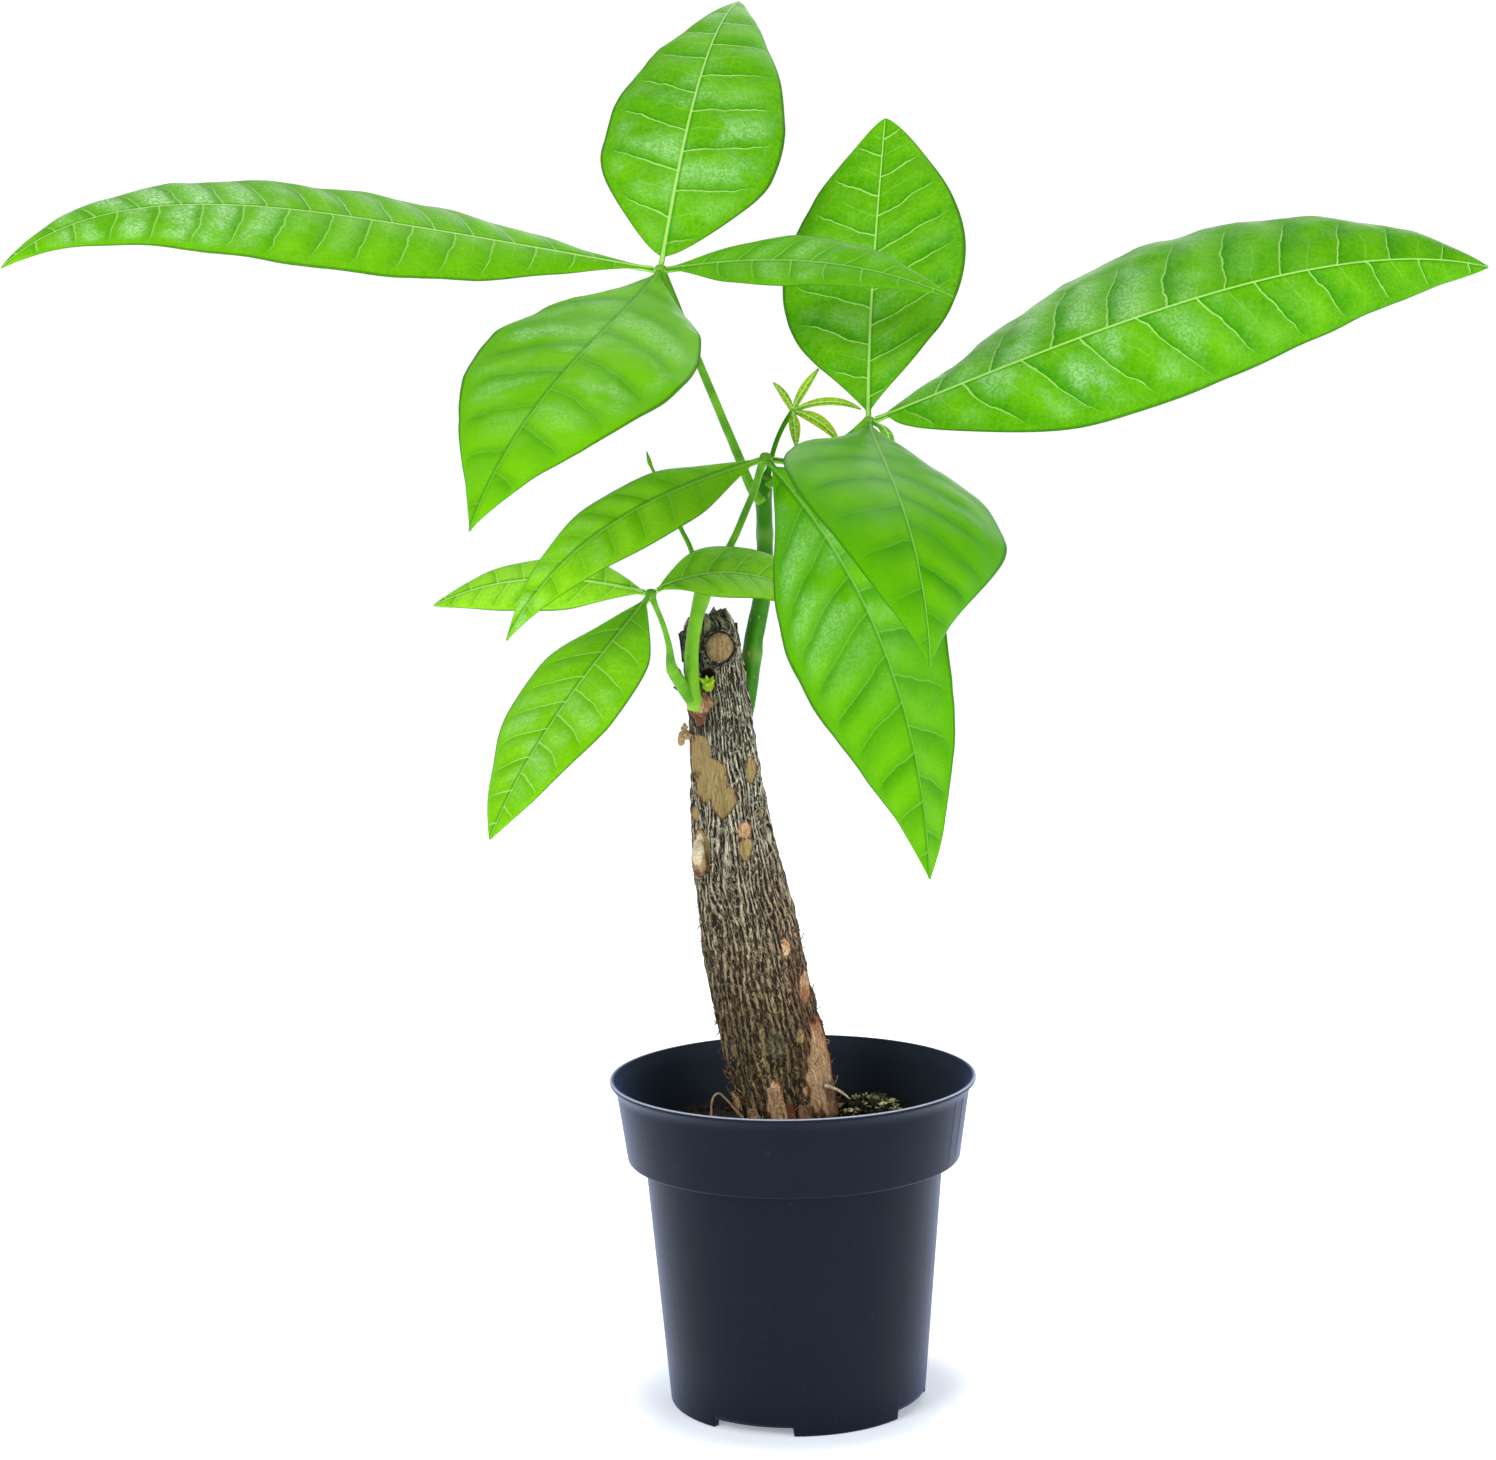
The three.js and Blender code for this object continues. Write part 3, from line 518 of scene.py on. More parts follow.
@dataclass(frozen=True)
class BarkFinish:
    """Grey flaking bark over dark cracks, with bare tan wood, orange callus, green film and scars."""

    name: str = "fissured_bark"
    ridges: int = RIDGES
    low_until: tuple[float, float] = (90, 185)
    high_from: tuple[float, float] = (180, 202)
    crack: Colour = paint(28, 21, 15)
    plate: Colour = paint(230, 222, 196)
    low_plate: Colour = paint(206, 178, 128)
    weathered: Colour = paint(104, 92, 68)
    umber: Colour = paint(78, 61, 42)
    lichen: Colour = paint(204, 192, 178)
    soot: Colour = paint(44, 42, 28)
    straw: Colour = paint(190, 156, 104)
    russet: Colour = paint(158, 84, 48)
    film: Colour = paint(56, 48, 28)
    pit: Colour = paint(34, 27, 16)
    algae: Colour = paint(92, 108, 84)
    relief: float = 0.0007

    def make(self) -> bpy.types.Material:
        """Builds the material.

        Returns:
            The bark material, which reads the masks stored in the trunk's mesh.
        """
        f = Finish(self.name, Specular_IOR_Level=0.25)
        g = BarkGrain(f)
        low = 1 - f.smooth(g.z, *self.low_until)
        high = f.smooth(g.z, *self.high_from)
        web = (1 - f.smooth(g.plates, 0.03, 0.12)) * f.smooth(g.specks, 0.35, 0.55)
        phase = f.math("ARCTAN2", g.y, g.x) * (self.ridges / math.tau) + f.number("sway")
        line = abs(f.math("SINE", phase * math.pi)) + (g.fibres - 0.5) * 2.0 + (g.threads - 0.5) * 1.5 - 0.1
        line = line + (g.strokes - 0.5) * low * 3.4 - high * 0.07
        colour = self.patches(f, g, self.ridged(f, g, low, high, web, line))
        rough_part = 1 - f.math("MAXIMUM", f.number("bare"), f.number("callus") * 0.6)
        height = (f.smooth(line, 0.1, 0.9) * 0.8 + web * 0.5) * rough_part
        height = height + g.fibres * 0.35 + g.threads * 0.3 + g.specks * 0.2
        return f.feed(colour, 0.78 + g.specks * 0.16, height, self.relief, 0.9)

    def ridged(self, f: Finish, g: BarkGrain, low: Value, high: Value, web: Value, line: Value) -> Value:
        """The bark's own colours: pale ridges and webs between dark cracks, warmer low down, sooty high up.

        Args:
            f: the finish they are for.
            g: its grain.
            low: how much of the warm foot a point has.
            high: how much of the dark crown a point has.
            web: the thin bridges between ridges.
            line: how high on a ridge a point is.

        Returns:
            The colour.
        """
        left, right = 1 - f.smooth(g.x, -9, 5), f.smooth(g.x, 4, 12)
        ground = f.coats(
            f.mix(f.smooth(g.fibres, 0.4, 0.62), self.umber, self.weathered),
            (f.smooth(g.broad, 0.42, 0.62) * 0.55, self.umber),
            (low * 0.7, f.mix(f.smooth(g.specks, 0.4, 0.6), paint(116, 84, 46), paint(84, 60, 34))),
        )
        pale = f.math("MAXIMUM", f.smooth(line, 0.74, 1.02), web * 0.85) * (1 - low * 0.5)
        pits = low * (1 - f.smooth(g.fibres, 0.4, 0.5)) * f.smooth(g.specks, 0.42, 0.54)
        return f.coats(
            ground,
            (pale * 0.95, f.mix(low, self.plate, self.low_plate)),
            (f.smooth(g.specks, 0.6, 0.72) * 0.5, self.lichen),
            (high * f.smooth(left + g.broad, 0.5, 1.1) * 0.55, self.soot),
            (low * f.smooth(g.threads, 0.56, 0.66) * 0.7, self.straw),
            (low * right * f.smooth(g.threads * 0.5 + g.specks * 0.5, 0.47, 0.56) * 0.75, self.russet),
            (low * f.smooth(g.broad + g.specks * 0.5, 0.5, 0.85) * 0.5, self.film),
            ((1 - f.smooth(line, 0.34, 0.7)) * (1 - web * 0.8) * 0.95, self.crack),
            (pits * 0.85, self.pit),
            (f.number("green") * f.smooth(g.specks, 0.35, 0.6) * 0.6, self.algae),
        )

    def patches(self, f: Finish, g: BarkGrain, bark: Value) -> Value:
        """The patches over the bark: bare wood, callus with its dark rim, pale root skin, and dark spots with the
        painted shade in the scars.

        Args:
            f: the finish they are for.
            g: its grain.
            bark: the colour under them.

        Returns:
            The colour that shows.
        """
        bare, callus = f.number("bare"), f.number("callus")
        rim = f.smooth(bare + callus, 0.04, 0.35) * (1 - f.smooth(bare + callus, 0.5, 0.9))
        wood = f.coats(
            f.mix(f.smooth(g.fibres, 0.35, 0.65), paint(140, 116, 72), paint(174, 152, 100)),
            (f.smooth(g.specks, 0.52, 0.66) * 0.6, paint(128, 88, 54)),
            (f.smooth(g.threads, 0.55, 0.68) * 0.5, paint(112, 78, 48)),
        )
        rust = f.coats(
            f.mix(f.smooth(g.fibres * 0.5 + g.specks * 0.5, 0.4, 0.62), paint(172, 124, 80), paint(240, 204, 160)),
            (f.smooth(g.broad * 0.6 + g.threads * 0.4, 0.53, 0.6) * 0.7, paint(156, 82, 42)),
        )
        cream = f.mix(f.smooth(g.specks, 0.4, 0.6), paint(206, 182, 144), paint(232, 216, 186))
        return f.coats(
            bark,
            (bare, wood),
            (callus, rust),
            (rim * f.smooth(g.specks, 0.3, 0.6), paint(122, 60, 32)),
            (f.number("root"), cream),
            # Dark spots, the cut top and the twig, and painted shade in the scars.
            (f.number("dark"), paint(34, 24, 20)),
        )


@dataclass(frozen=True)
class PotFinish:
    """Satin blue-black moulded plastic with a fine skin, faint draw lines and handling marks, painted lighter inside,
    and with a painted highlight on the rim's outer edge and on the mould seams.
    """

    name: str = "moulded_pot"
    body: Colour = (0.0036, 0.0048, 0.009)
    cloudy: Colour = (0.0065, 0.0085, 0.0145)
    # Painted light: the inside is painted lighter than the body.
    inside: Colour = (0.022, 0.027, 0.038)
    dust: Colour = paint(120, 116, 108)
    # The colour of the painted highlight on the rim's outer edge.
    edge: Colour = paint(198, 202, 216)
    # The colour of the painted highlight on the mould seams.
    seam: Colour = paint(96, 104, 124)
    relief: float = 0.00006

    def make(self) -> bpy.types.Material:
        """Builds the material.

        Returns:
            The pot's plastic, painted lighter inside and with a painted highlight on the rim's outer edge and the
            mould seams, which are stored in the mesh.
        """
        f = Finish(self.name, Specular_IOR_Level=0.125, Specular_Tint=(0.68, 0.82, 1.0),
                   Sheen_Weight=0.3, Sheen_Roughness=0.35, Sheen_Tint=(0.12, 0.3, 1.0))
        here = f.place()
        skin = f.noise(here, 2600, 3, 0.6)
        cloud = f.noise(here, 42, 3)
        draw = f.noise(f.stretch(here, (1, 1, 0.02)), 520, 4, 0.6)
        dust = f.smooth(f.noise(here, 320, 5, 0.7), 0.6, 0.78)
        colour = f.coats(
            f.mix(cloud * 0.6 + draw * 0.5 - 0.05, self.body, self.cloudy),
            (dust * 0.05, self.dust),
            # Painted light inside the pot.
            (f.number("inner"), self.inside),
            # Painted highlight along the rim's outer edge.
            (f.number("edge") * 0.9, self.edge),
            # Painted highlight on the mould seams.
            (f.number("seam") * 0.6, self.seam),
        )
        rough = 0.26 + cloud * 0.1 + draw * 0.06 + dust * 0.12 + f.number("inner") * 0.5
        return f.feed(colour, rough, skin * 0.35 + draw * 0.65, self.relief, 0.5)


@dataclass(frozen=True)
class SoilFinish:
    """Dark damp potting mix with brown fibres and a few pale grains."""

    name: str = "potting_mix"
    relief: float = 0.0006

    def make(self) -> bpy.types.Material:
        """Builds the material.

        Returns:
            The soil material; pale and chip are stored in the mesh.
        """
        f = Finish(self.name, Specular_IOR_Level=0.2)
        here = f.place()
        grains = f.cracks(f.warp(here, 700, (0.002, 0.002, 0.002)), 620)
        fine = f.noise(here, 1500, 5, 0.7)
        cloud = f.noise(here, 130, 3)
        colour = f.coats(
            f.mix(f.smooth(fine, 0.35, 0.7), paint(20, 16, 13), paint(58, 45, 34)),
            (f.smooth(cloud, 0.45, 0.65) * 0.5, paint(38, 28, 22)),
            (f.number("chip"), f.mix(fine, paint(86, 58, 36), paint(148, 112, 76))),
            (f.number("pale"), f.mix(fine, paint(178, 170, 140), paint(222, 216, 190))),
        )
        return f.feed(colour, 0.92, f.smooth(grains, 0.0, 0.3) * 0.6 + fine * 0.6, self.relief, 0.9)


@dataclass(frozen=True)
class MossFinish:
    """Dry moss: dark tufts with fronds that fade to straw at their tips."""

    name: str = "dry_moss"
    relief: float = 0.0004

    def make(self) -> bpy.types.Material:
        """Builds the material.

        Returns:
            The moss material; tip is stored in the mesh.
        """
        f = Finish(self.name, Specular_IOR_Level=0.2)
        fine = f.noise(f.place(), 1300, 4, 0.65)
        cloud = f.noise(f.place(), 260, 2)
        colour = f.coats(
            f.mix(f.smooth(fine, 0.35, 0.65), paint(16, 15, 9), paint(58, 58, 26)),
            (f.smooth(cloud, 0.44, 0.54) * 0.85, paint(17, 14, 9)),
            (f.number("tip"), f.mix(fine, paint(216, 208, 122), paint(255, 250, 206))),
        )
        return f.feed(colour, 0.88, fine, self.relief, 0.8)


# Meshes

LEAST_RADIUS = 0.15   # of a swept line
LEAST_RINGS = 6       # along it
POLE_GAP = 0.12       # between a lump's end rings and its poles, as an angle


class Shape:
    """Gathers grids and loose faces in millimetres and makes one mesh of them."""

    def __init__(self, name: str) -> None:
        """Starts an empty shape.

        Args:
            name: the name of its piece.
        """
        self.name = name
        self.points: list[np.ndarray] = []
        self.faces: list[np.ndarray] = []
        self.numbers: list[dict[str, np.ndarray]] = []
        self.places: list[np.ndarray | None] = []
        self.count = 0

    def add(self, points: np.ndarray, faces: Sequence[np.ndarray],
            numbers: dict[str, Any] | None = None, place: np.ndarray | None = None) -> None:
        """Adds points and the faces between them.

        Args:
            points: one row for each point.
            faces: arrays of corner numbers, one row for each face.
            numbers: what the finish reads, one number for all points or one for each.
            place: a second place for each point, which a finish can read.
        """
        points = np.asarray(points, float).reshape(-1, 3)
        self.points.append(points)
        self.faces.extend(np.asarray(rows, int) + self.count for rows in faces if len(rows))
        self.numbers.append({
            key: np.broadcast_to(np.asarray(level, float).reshape(-1), (len(points),))
            for key, level in (numbers or {}).items()
        })
        self.places.append(place)
        self.count += len(points)

    def tube(self, rings: np.ndarray, numbers: dict[str, Any] | None = None,
             place: np.ndarray | None = None) -> None:
        """Adds a skin through closed rings and closes both of its ends.

        Args:
            rings: the rings' points, ring by side by 3, each counter-clockwise seen from the last ring's end.
            numbers: what the finish reads, ring by side or one for all.
            place: a second place for each point.
        """
        count, sides = rings.shape[:2]
        ends = rings[[0, -1]].mean(1)
        ring, side = np.meshgrid(np.arange(count - 1), np.arange(sides), indexing="ij")
        beside = (side + 1) % sides
        corners = [ring * sides + side, ring * sides + beside,
                   (ring + 1) * sides + beside, (ring + 1) * sides + side]
        quads = np.stack(corners, -1).reshape(-1, 4)
        here = np.arange(sides)
        after = (here + 1) % sides
        first, last = count * sides, count * sides + 1
        top = (count - 1) * sides
        caps = np.concatenate([
            np.stack([np.full(sides, first), after, here], -1),
            np.stack([np.full(sides, last), top + here, top + after], -1),
        ])
        full = {}
        for key, level in (numbers or {}).items():
            spread = np.broadcast_to(np.asarray(level, float), (count, sides))
            full[key] = np.concatenate([spread.reshape(-1), [spread[0].mean(), spread[-1].mean()]])
        if place is not None:
            place = np.concatenate([place.reshape(-1, 3), place[0].mean(0)[None], place[-1].mean(0)[None]])
        self.add(np.concatenate([rings.reshape(-1, 3), ends]), [quads, caps], full, place)

    def lump(self, at: Sequence[float], size: Sequence[float], rough: float, seed: int,
             numbers: dict[str, Any] | None = None, rows: int = 8, spin: float = 0.0) -> None:
        """Adds an uneven pebble.

        Args:
            at: its middle.
            size: its half sizes.
            rough: how uneven it is, as a share of its size.
            seed: picks its shape.
            numbers: what the finish reads.
            rows: how fine its mesh is.
            spin: how far it is turned about the vertical, in degrees.
        """
        polar = np.linspace(POLE_GAP, math.pi - POLE_GAP, rows)[:, None]
        turn = circle(2 * rows)[None]
        ball = np.stack([np.sin(polar) * np.cos(turn), np.sin(polar) * np.sin(turn),
                         -np.cos(polar) * np.ones_like(turn)], -1)
        push = 1 + rough * Grain(seed % 7).layered(ball + seed * 1.37, 0.8, 2)
        body = ball * push[..., None] * np.asarray(size, float)
        angle = math.radians(spin)
        turned = body.copy()
        turned[..., 0] = body[..., 0] * math.cos(angle) - body[..., 1] * math.sin(angle)
        turned[..., 1] = body[..., 0] * math.sin(angle) + body[..., 1] * math.cos(angle)
        self.tube(turned + np.asarray(at, float), numbers)

    def make(self, finish: bpy.types.Material) -> bpy.types.Object:
        """Makes the mesh object, in metres, smooth all over.

        Args:
            finish: its material.

        Returns:
            The new object.
        """
        mesh = bpy.data.meshes.new(self.name)
        points = np.concatenate(self.points) * MM
        mesh.vertices.add(len(points))
        mesh.vertices.foreach_set("co", points.astype(np.float32).ravel())
        corners = np.concatenate([rows.ravel() for rows in self.faces])
        sizes = np.concatenate([np.full(len(rows), rows.shape[1]) for rows in self.faces])
        mesh.loops.add(len(corners))
        mesh.loops.foreach_set("vertex_index", corners.astype(np.int32))
        mesh.polygons.add(len(sizes))
        mesh.polygons.foreach_set("loop_start", (np.cumsum(sizes) - sizes).astype(np.int32))
        mesh.polygons.foreach_set("loop_total", sizes.astype(np.int32))
        mesh.update(calc_edges=True)
        for key in sorted({key for numbers in self.numbers for key in numbers}):
            levels = np.concatenate([
                numbers.get(key, np.zeros(len(part))) for numbers, part in zip(self.numbers, self.points)])
            mesh.attributes.new(key, "FLOAT", "POINT").data.foreach_set("value", levels.astype(np.float32))
        if any(place is not None for place in self.places):
            places = np.concatenate([part if place is None else np.asarray(place, float).reshape(-1, 3)
                                     for place, part in zip(self.places, self.points)])
            rind = mesh.attributes.new("rind", "FLOAT_VECTOR", "POINT")
            rind.data.foreach_set("vector", places.astype(np.float32).ravel())
        mesh.validate()
        mesh.shade_smooth()
        mesh.materials.append(finish)
        piece = bpy.data.objects.new(self.name, mesh)
        bpy.context.scene.collection.objects.link(piece)
        return piece


def place_piece(piece: bpy.types.Object, slot: str, *nodes: str) -> None:
    """Sets a finished piece on the tree in place of its solids.

    Args:
        piece: the object.
        slot: the record's material slot for it; not used.
        nodes: the solids it stands for.
    """
    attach(piece, "root")
    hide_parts(*nodes)
    log.info("%s: %d faces, stands for %s", piece.name, len(piece.data.polygons), ", ".join(nodes))


def swept(stations: Sequence[Sequence[float]], sides: int, step: float = 0.9) -> tuple[np.ndarray, np.ndarray]:
    """Round rings along a smooth line through stations of x, y, z and radius.

    Args:
        stations: the places and the radii there.
        sides: points round each ring.
        step: about how far apart the rings are, in millimetres.

    Returns:
        The rings, and how far along the line each is, from 0 to 1.
    """
    knots = np.asarray(stations, float)
    knots = np.concatenate([[2 * knots[0] - knots[1]], knots, [2 * knots[-1] - knots[-2]]])
    length = np.linalg.norm(np.diff(knots[1:-1, :3], axis=0), axis=1).sum()
    shares = np.linspace(0, len(stations) - 1 - 1e-6, max(LEAST_RINGS, int(length / step)))
    index = shares.astype(int)
    t = (shares - index)[:, None]
    a, b, c, d = (knots[index + k] for k in range(4))
    line = 0.5 * (2 * b + (c - a) * t + (2 * a - 5 * b + 4 * c - d) * t**2 + (3 * b - a - 3 * c + d) * t**3)
    middle, radius = line[:, :3], np.maximum(line[:, 3], LEAST_RADIUS)
    along = unit(np.gradient(middle, axis=0))
    across = np.zeros_like(middle)
    held = np.array([1.0, 0.0, 0.0])
    for row, direction in enumerate(along):
        held = held - direction * held.dot(direction)
        held /= np.linalg.norm(held)
        across[row] = held
    beside = np.cross(along, across)
    turn = circle(sides)
    rings = (middle[:, None] + radius[:, None, None] * (
        np.cos(turn)[None, :, None] * across[:, None] + np.sin(turn)[None, :, None] * beside[:, None]))
    return rings, shares / shares[-1]


# Pot

@dataclass
class Pot:
    """The turned shell of the nursery pot, with its collar, rim bead and four feet."""

    height: float = 94.4
    rim_radius: float = 52.5
    lip: float = 2.2
    collar_top_radius: float = 50.6
    collar_foot_radius: float = 47.7
    collar_foot: float = 71.0
    body_top_radius: float = 42.8
    base_radius: float = 36.9
    wall: float = 1.2
    floor: float = 3.0
    foot_width: float = 2.2
    notch_height: float = 2.6
    foot_span: float = 52.0
    first_foot: float = -67.0
    drain_radius: float = 3.5
    drain_circle: float = 24.0
    drain_sides: int = 32
    mould_lines: tuple[float, ...] = (-26.0, -19.5, 154.0)
    mould_line_width: float = 0.28
    mould_line_height: float = 0.16

    def corners(self) -> list[tuple[float, float, float]]:
        """The section's corners from the underside's middle, out and up, and down the inside.

        Returns:
            Radius, height and rounding of each corner.
        """
        lip = self.height - self.lip
        return [
            (0, self.floor, 0), (self.base_radius - self.foot_width, self.floor, 0.4),
            (self.base_radius - self.foot_width, 0, 0.3), (self.base_radius - 0.1, 0, 0.5),
            (self.body_top_radius, self.collar_foot, 0.35), (self.collar_foot_radius, self.collar_foot, 0.7),
            (self.collar_top_radius, lip - 1.0, 1.4), (self.rim_radius, self.height - 0.9, 0.3),
            (self.rim_radius, self.height, 0.35), (self.rim_radius - 1.1, self.height, 0.3),
            (self.collar_top_radius - self.wall + 0.2, lip - 1.4, 1.4),
            (self.collar_foot_radius - self.wall, self.collar_foot + self.wall, 0.8),
            (self.body_top_radius - self.wall, self.collar_foot + self.wall - 0.2, 0.8),
            (self.base_radius - self.wall - 0.2, self.floor + self.wall, 1.0), (0, self.floor + self.wall, 0),
        ]

    def section(self) -> np.ndarray:
        """The section as closely spaced points, with rounded corners.

        Returns:
            Rows of radius and height.
        """
        corners = self.corners()
        points = [np.array(corners[0][:2])]
        for before, here, after in zip(corners, corners[1:], corners[2:]):
            corner = np.array(here[:2])
            back, on = (unit(np.array(other[:2]) - corner) for other in (before, after))
            arc = [(corner + back * here[2]) * (1 - t) ** 2
                   + 2 * corner * t * (1 - t) + (corner + on * here[2]) * t**2 for t in np.linspace(0, 1, 5)]
            start = arc[0]
            span = np.linalg.norm(start - points[-1])
            if span > 1:
                inner = np.linspace(0, 1, max(2, int(span / 3)) + 1)[1:-1]
                shares = sorted({0.25 / span, *inner, 1 - 0.25 / span})
                points.extend(points[-1] + (start - points[-1]) * share for share in shares)
            points.extend(arc)
        points.append(np.array(corners[-1][:2]))
        return np.array(points)

    def turns(self) -> tuple[np.ndarray, np.ndarray]:
        """The angles of the section round the pot, closer at the ends of the feet.

        Returns:
            The angles, and how far each is inside a notch, from 0 to 1.
        """
        ends = [self.first_foot + 90 * foot + side * self.foot_span / 2 for foot in range(4) for side in (-1, 1)]
        extra = [end + shift for end in (*ends, *self.mould_lines) for shift in (-0.6, -0.25, 0.0, 0.25, 0.6)]
        angles = np.unique(np.round(np.concatenate([np.arange(0, 360, 1.5), np.array(extra) % 360]), 3))
        from_foot = np.abs((angles - self.first_foot + 45) % 90 - 45)
        return np.radians(angles), ease(from_foot, self.foot_span / 2 - 0.3, self.foot_span / 2 + 0.3)

    def build(self, finish: bpy.types.Material) -> bpy.types.Object:
        """Turns the section, lifts the notches, drills the drain holes and sets the pot in place.

        Args:
            finish: the pot's plastic.

        Returns:
            The pot.
        """
        section = self.section()
        angles, notch = self.turns()
        radius, height = np.maximum(section[:, :1], 0.02), section[:, 1:]
        lifted = np.where(height < self.notch_height, height + (self.notch_height - height) * notch, height)
        away = [(np.degrees(angles) - at + 180) % 360 - 180 for at in self.mould_lines]
        ridge = sum(np.exp(-((degrees / self.mould_line_width) ** 2)) for degrees in away)
        on_collar = ease(height, self.collar_foot + 1, self.collar_foot + 2)
        on_collar = on_collar * ease(-height, 3 - self.height, 4 - self.height)
        slope = (self.collar_top_radius - self.collar_foot_radius) / (self.height - self.collar_foot)
        on_collar = on_collar * (radius > self.collar_foot_radius - 0.5 + slope * (height - self.collar_foot))
        # Painted highlight along the mould seams on the collar.
        seam = ridge * on_collar
        radius = radius + self.mould_line_height * ridge * on_collar
        # Painted highlight along the rim's outer top edge.
        edge = (radius > self.rim_radius - 0.8) * ease(height, self.height - 0.28, self.height - 0.06)
        # The inside of the pot, which is painted lighter.
        inner = ease(np.arange(len(section)), section[:, 1].argmax() + 2, section[:, 1].argmax() + 6)
        shape = Shape("nursery_pot")
        shape.tube(around(angles, radius, lifted)[:, ::-1],
                   {"edge": edge[:, ::-1], "seam": seam[:, ::-1], "inner": inner[:, None]})
        pot = shape.make(finish)
        self.drill(pot)
        place_piece(pot, "pot", "pot")
        return pot

    def drill(self, pot: bpy.types.Object) -> None:
        """Cuts the four drain holes through the pot's floor.

        Args:
            pot: the pot, whose mesh is replaced by the drilled one.
        """
        drills = Shape("drills")
        turn = circle(self.drain_sides)
        for hole in range(4):
            angle = math.radians(self.first_foot + 45 + 90 * hole)
            x, y = self.drain_circle * math.cos(angle), self.drain_circle * math.sin(angle)
            drills.tube(np.stack([
                around(turn, self.drain_radius, z, x, y) for z in (self.floor - 3, self.floor + 4)]))
        cutter = drills.make(pot.data.materials[0])
        cut = pot.modifiers.new("drain_holes", "BOOLEAN")
        cut.operation = "DIFFERENCE"
        cut.object = cutter
        cut.solver = "EXACT"
        bpy.context.view_layer.update()
        bored = bpy.data.meshes.new_from_object(pot.evaluated_get(bpy.context.evaluated_depsgraph_get()))
        pot.modifiers.clear()
        pot.data = bored
        bpy.data.objects.remove(cutter)


# Trunk

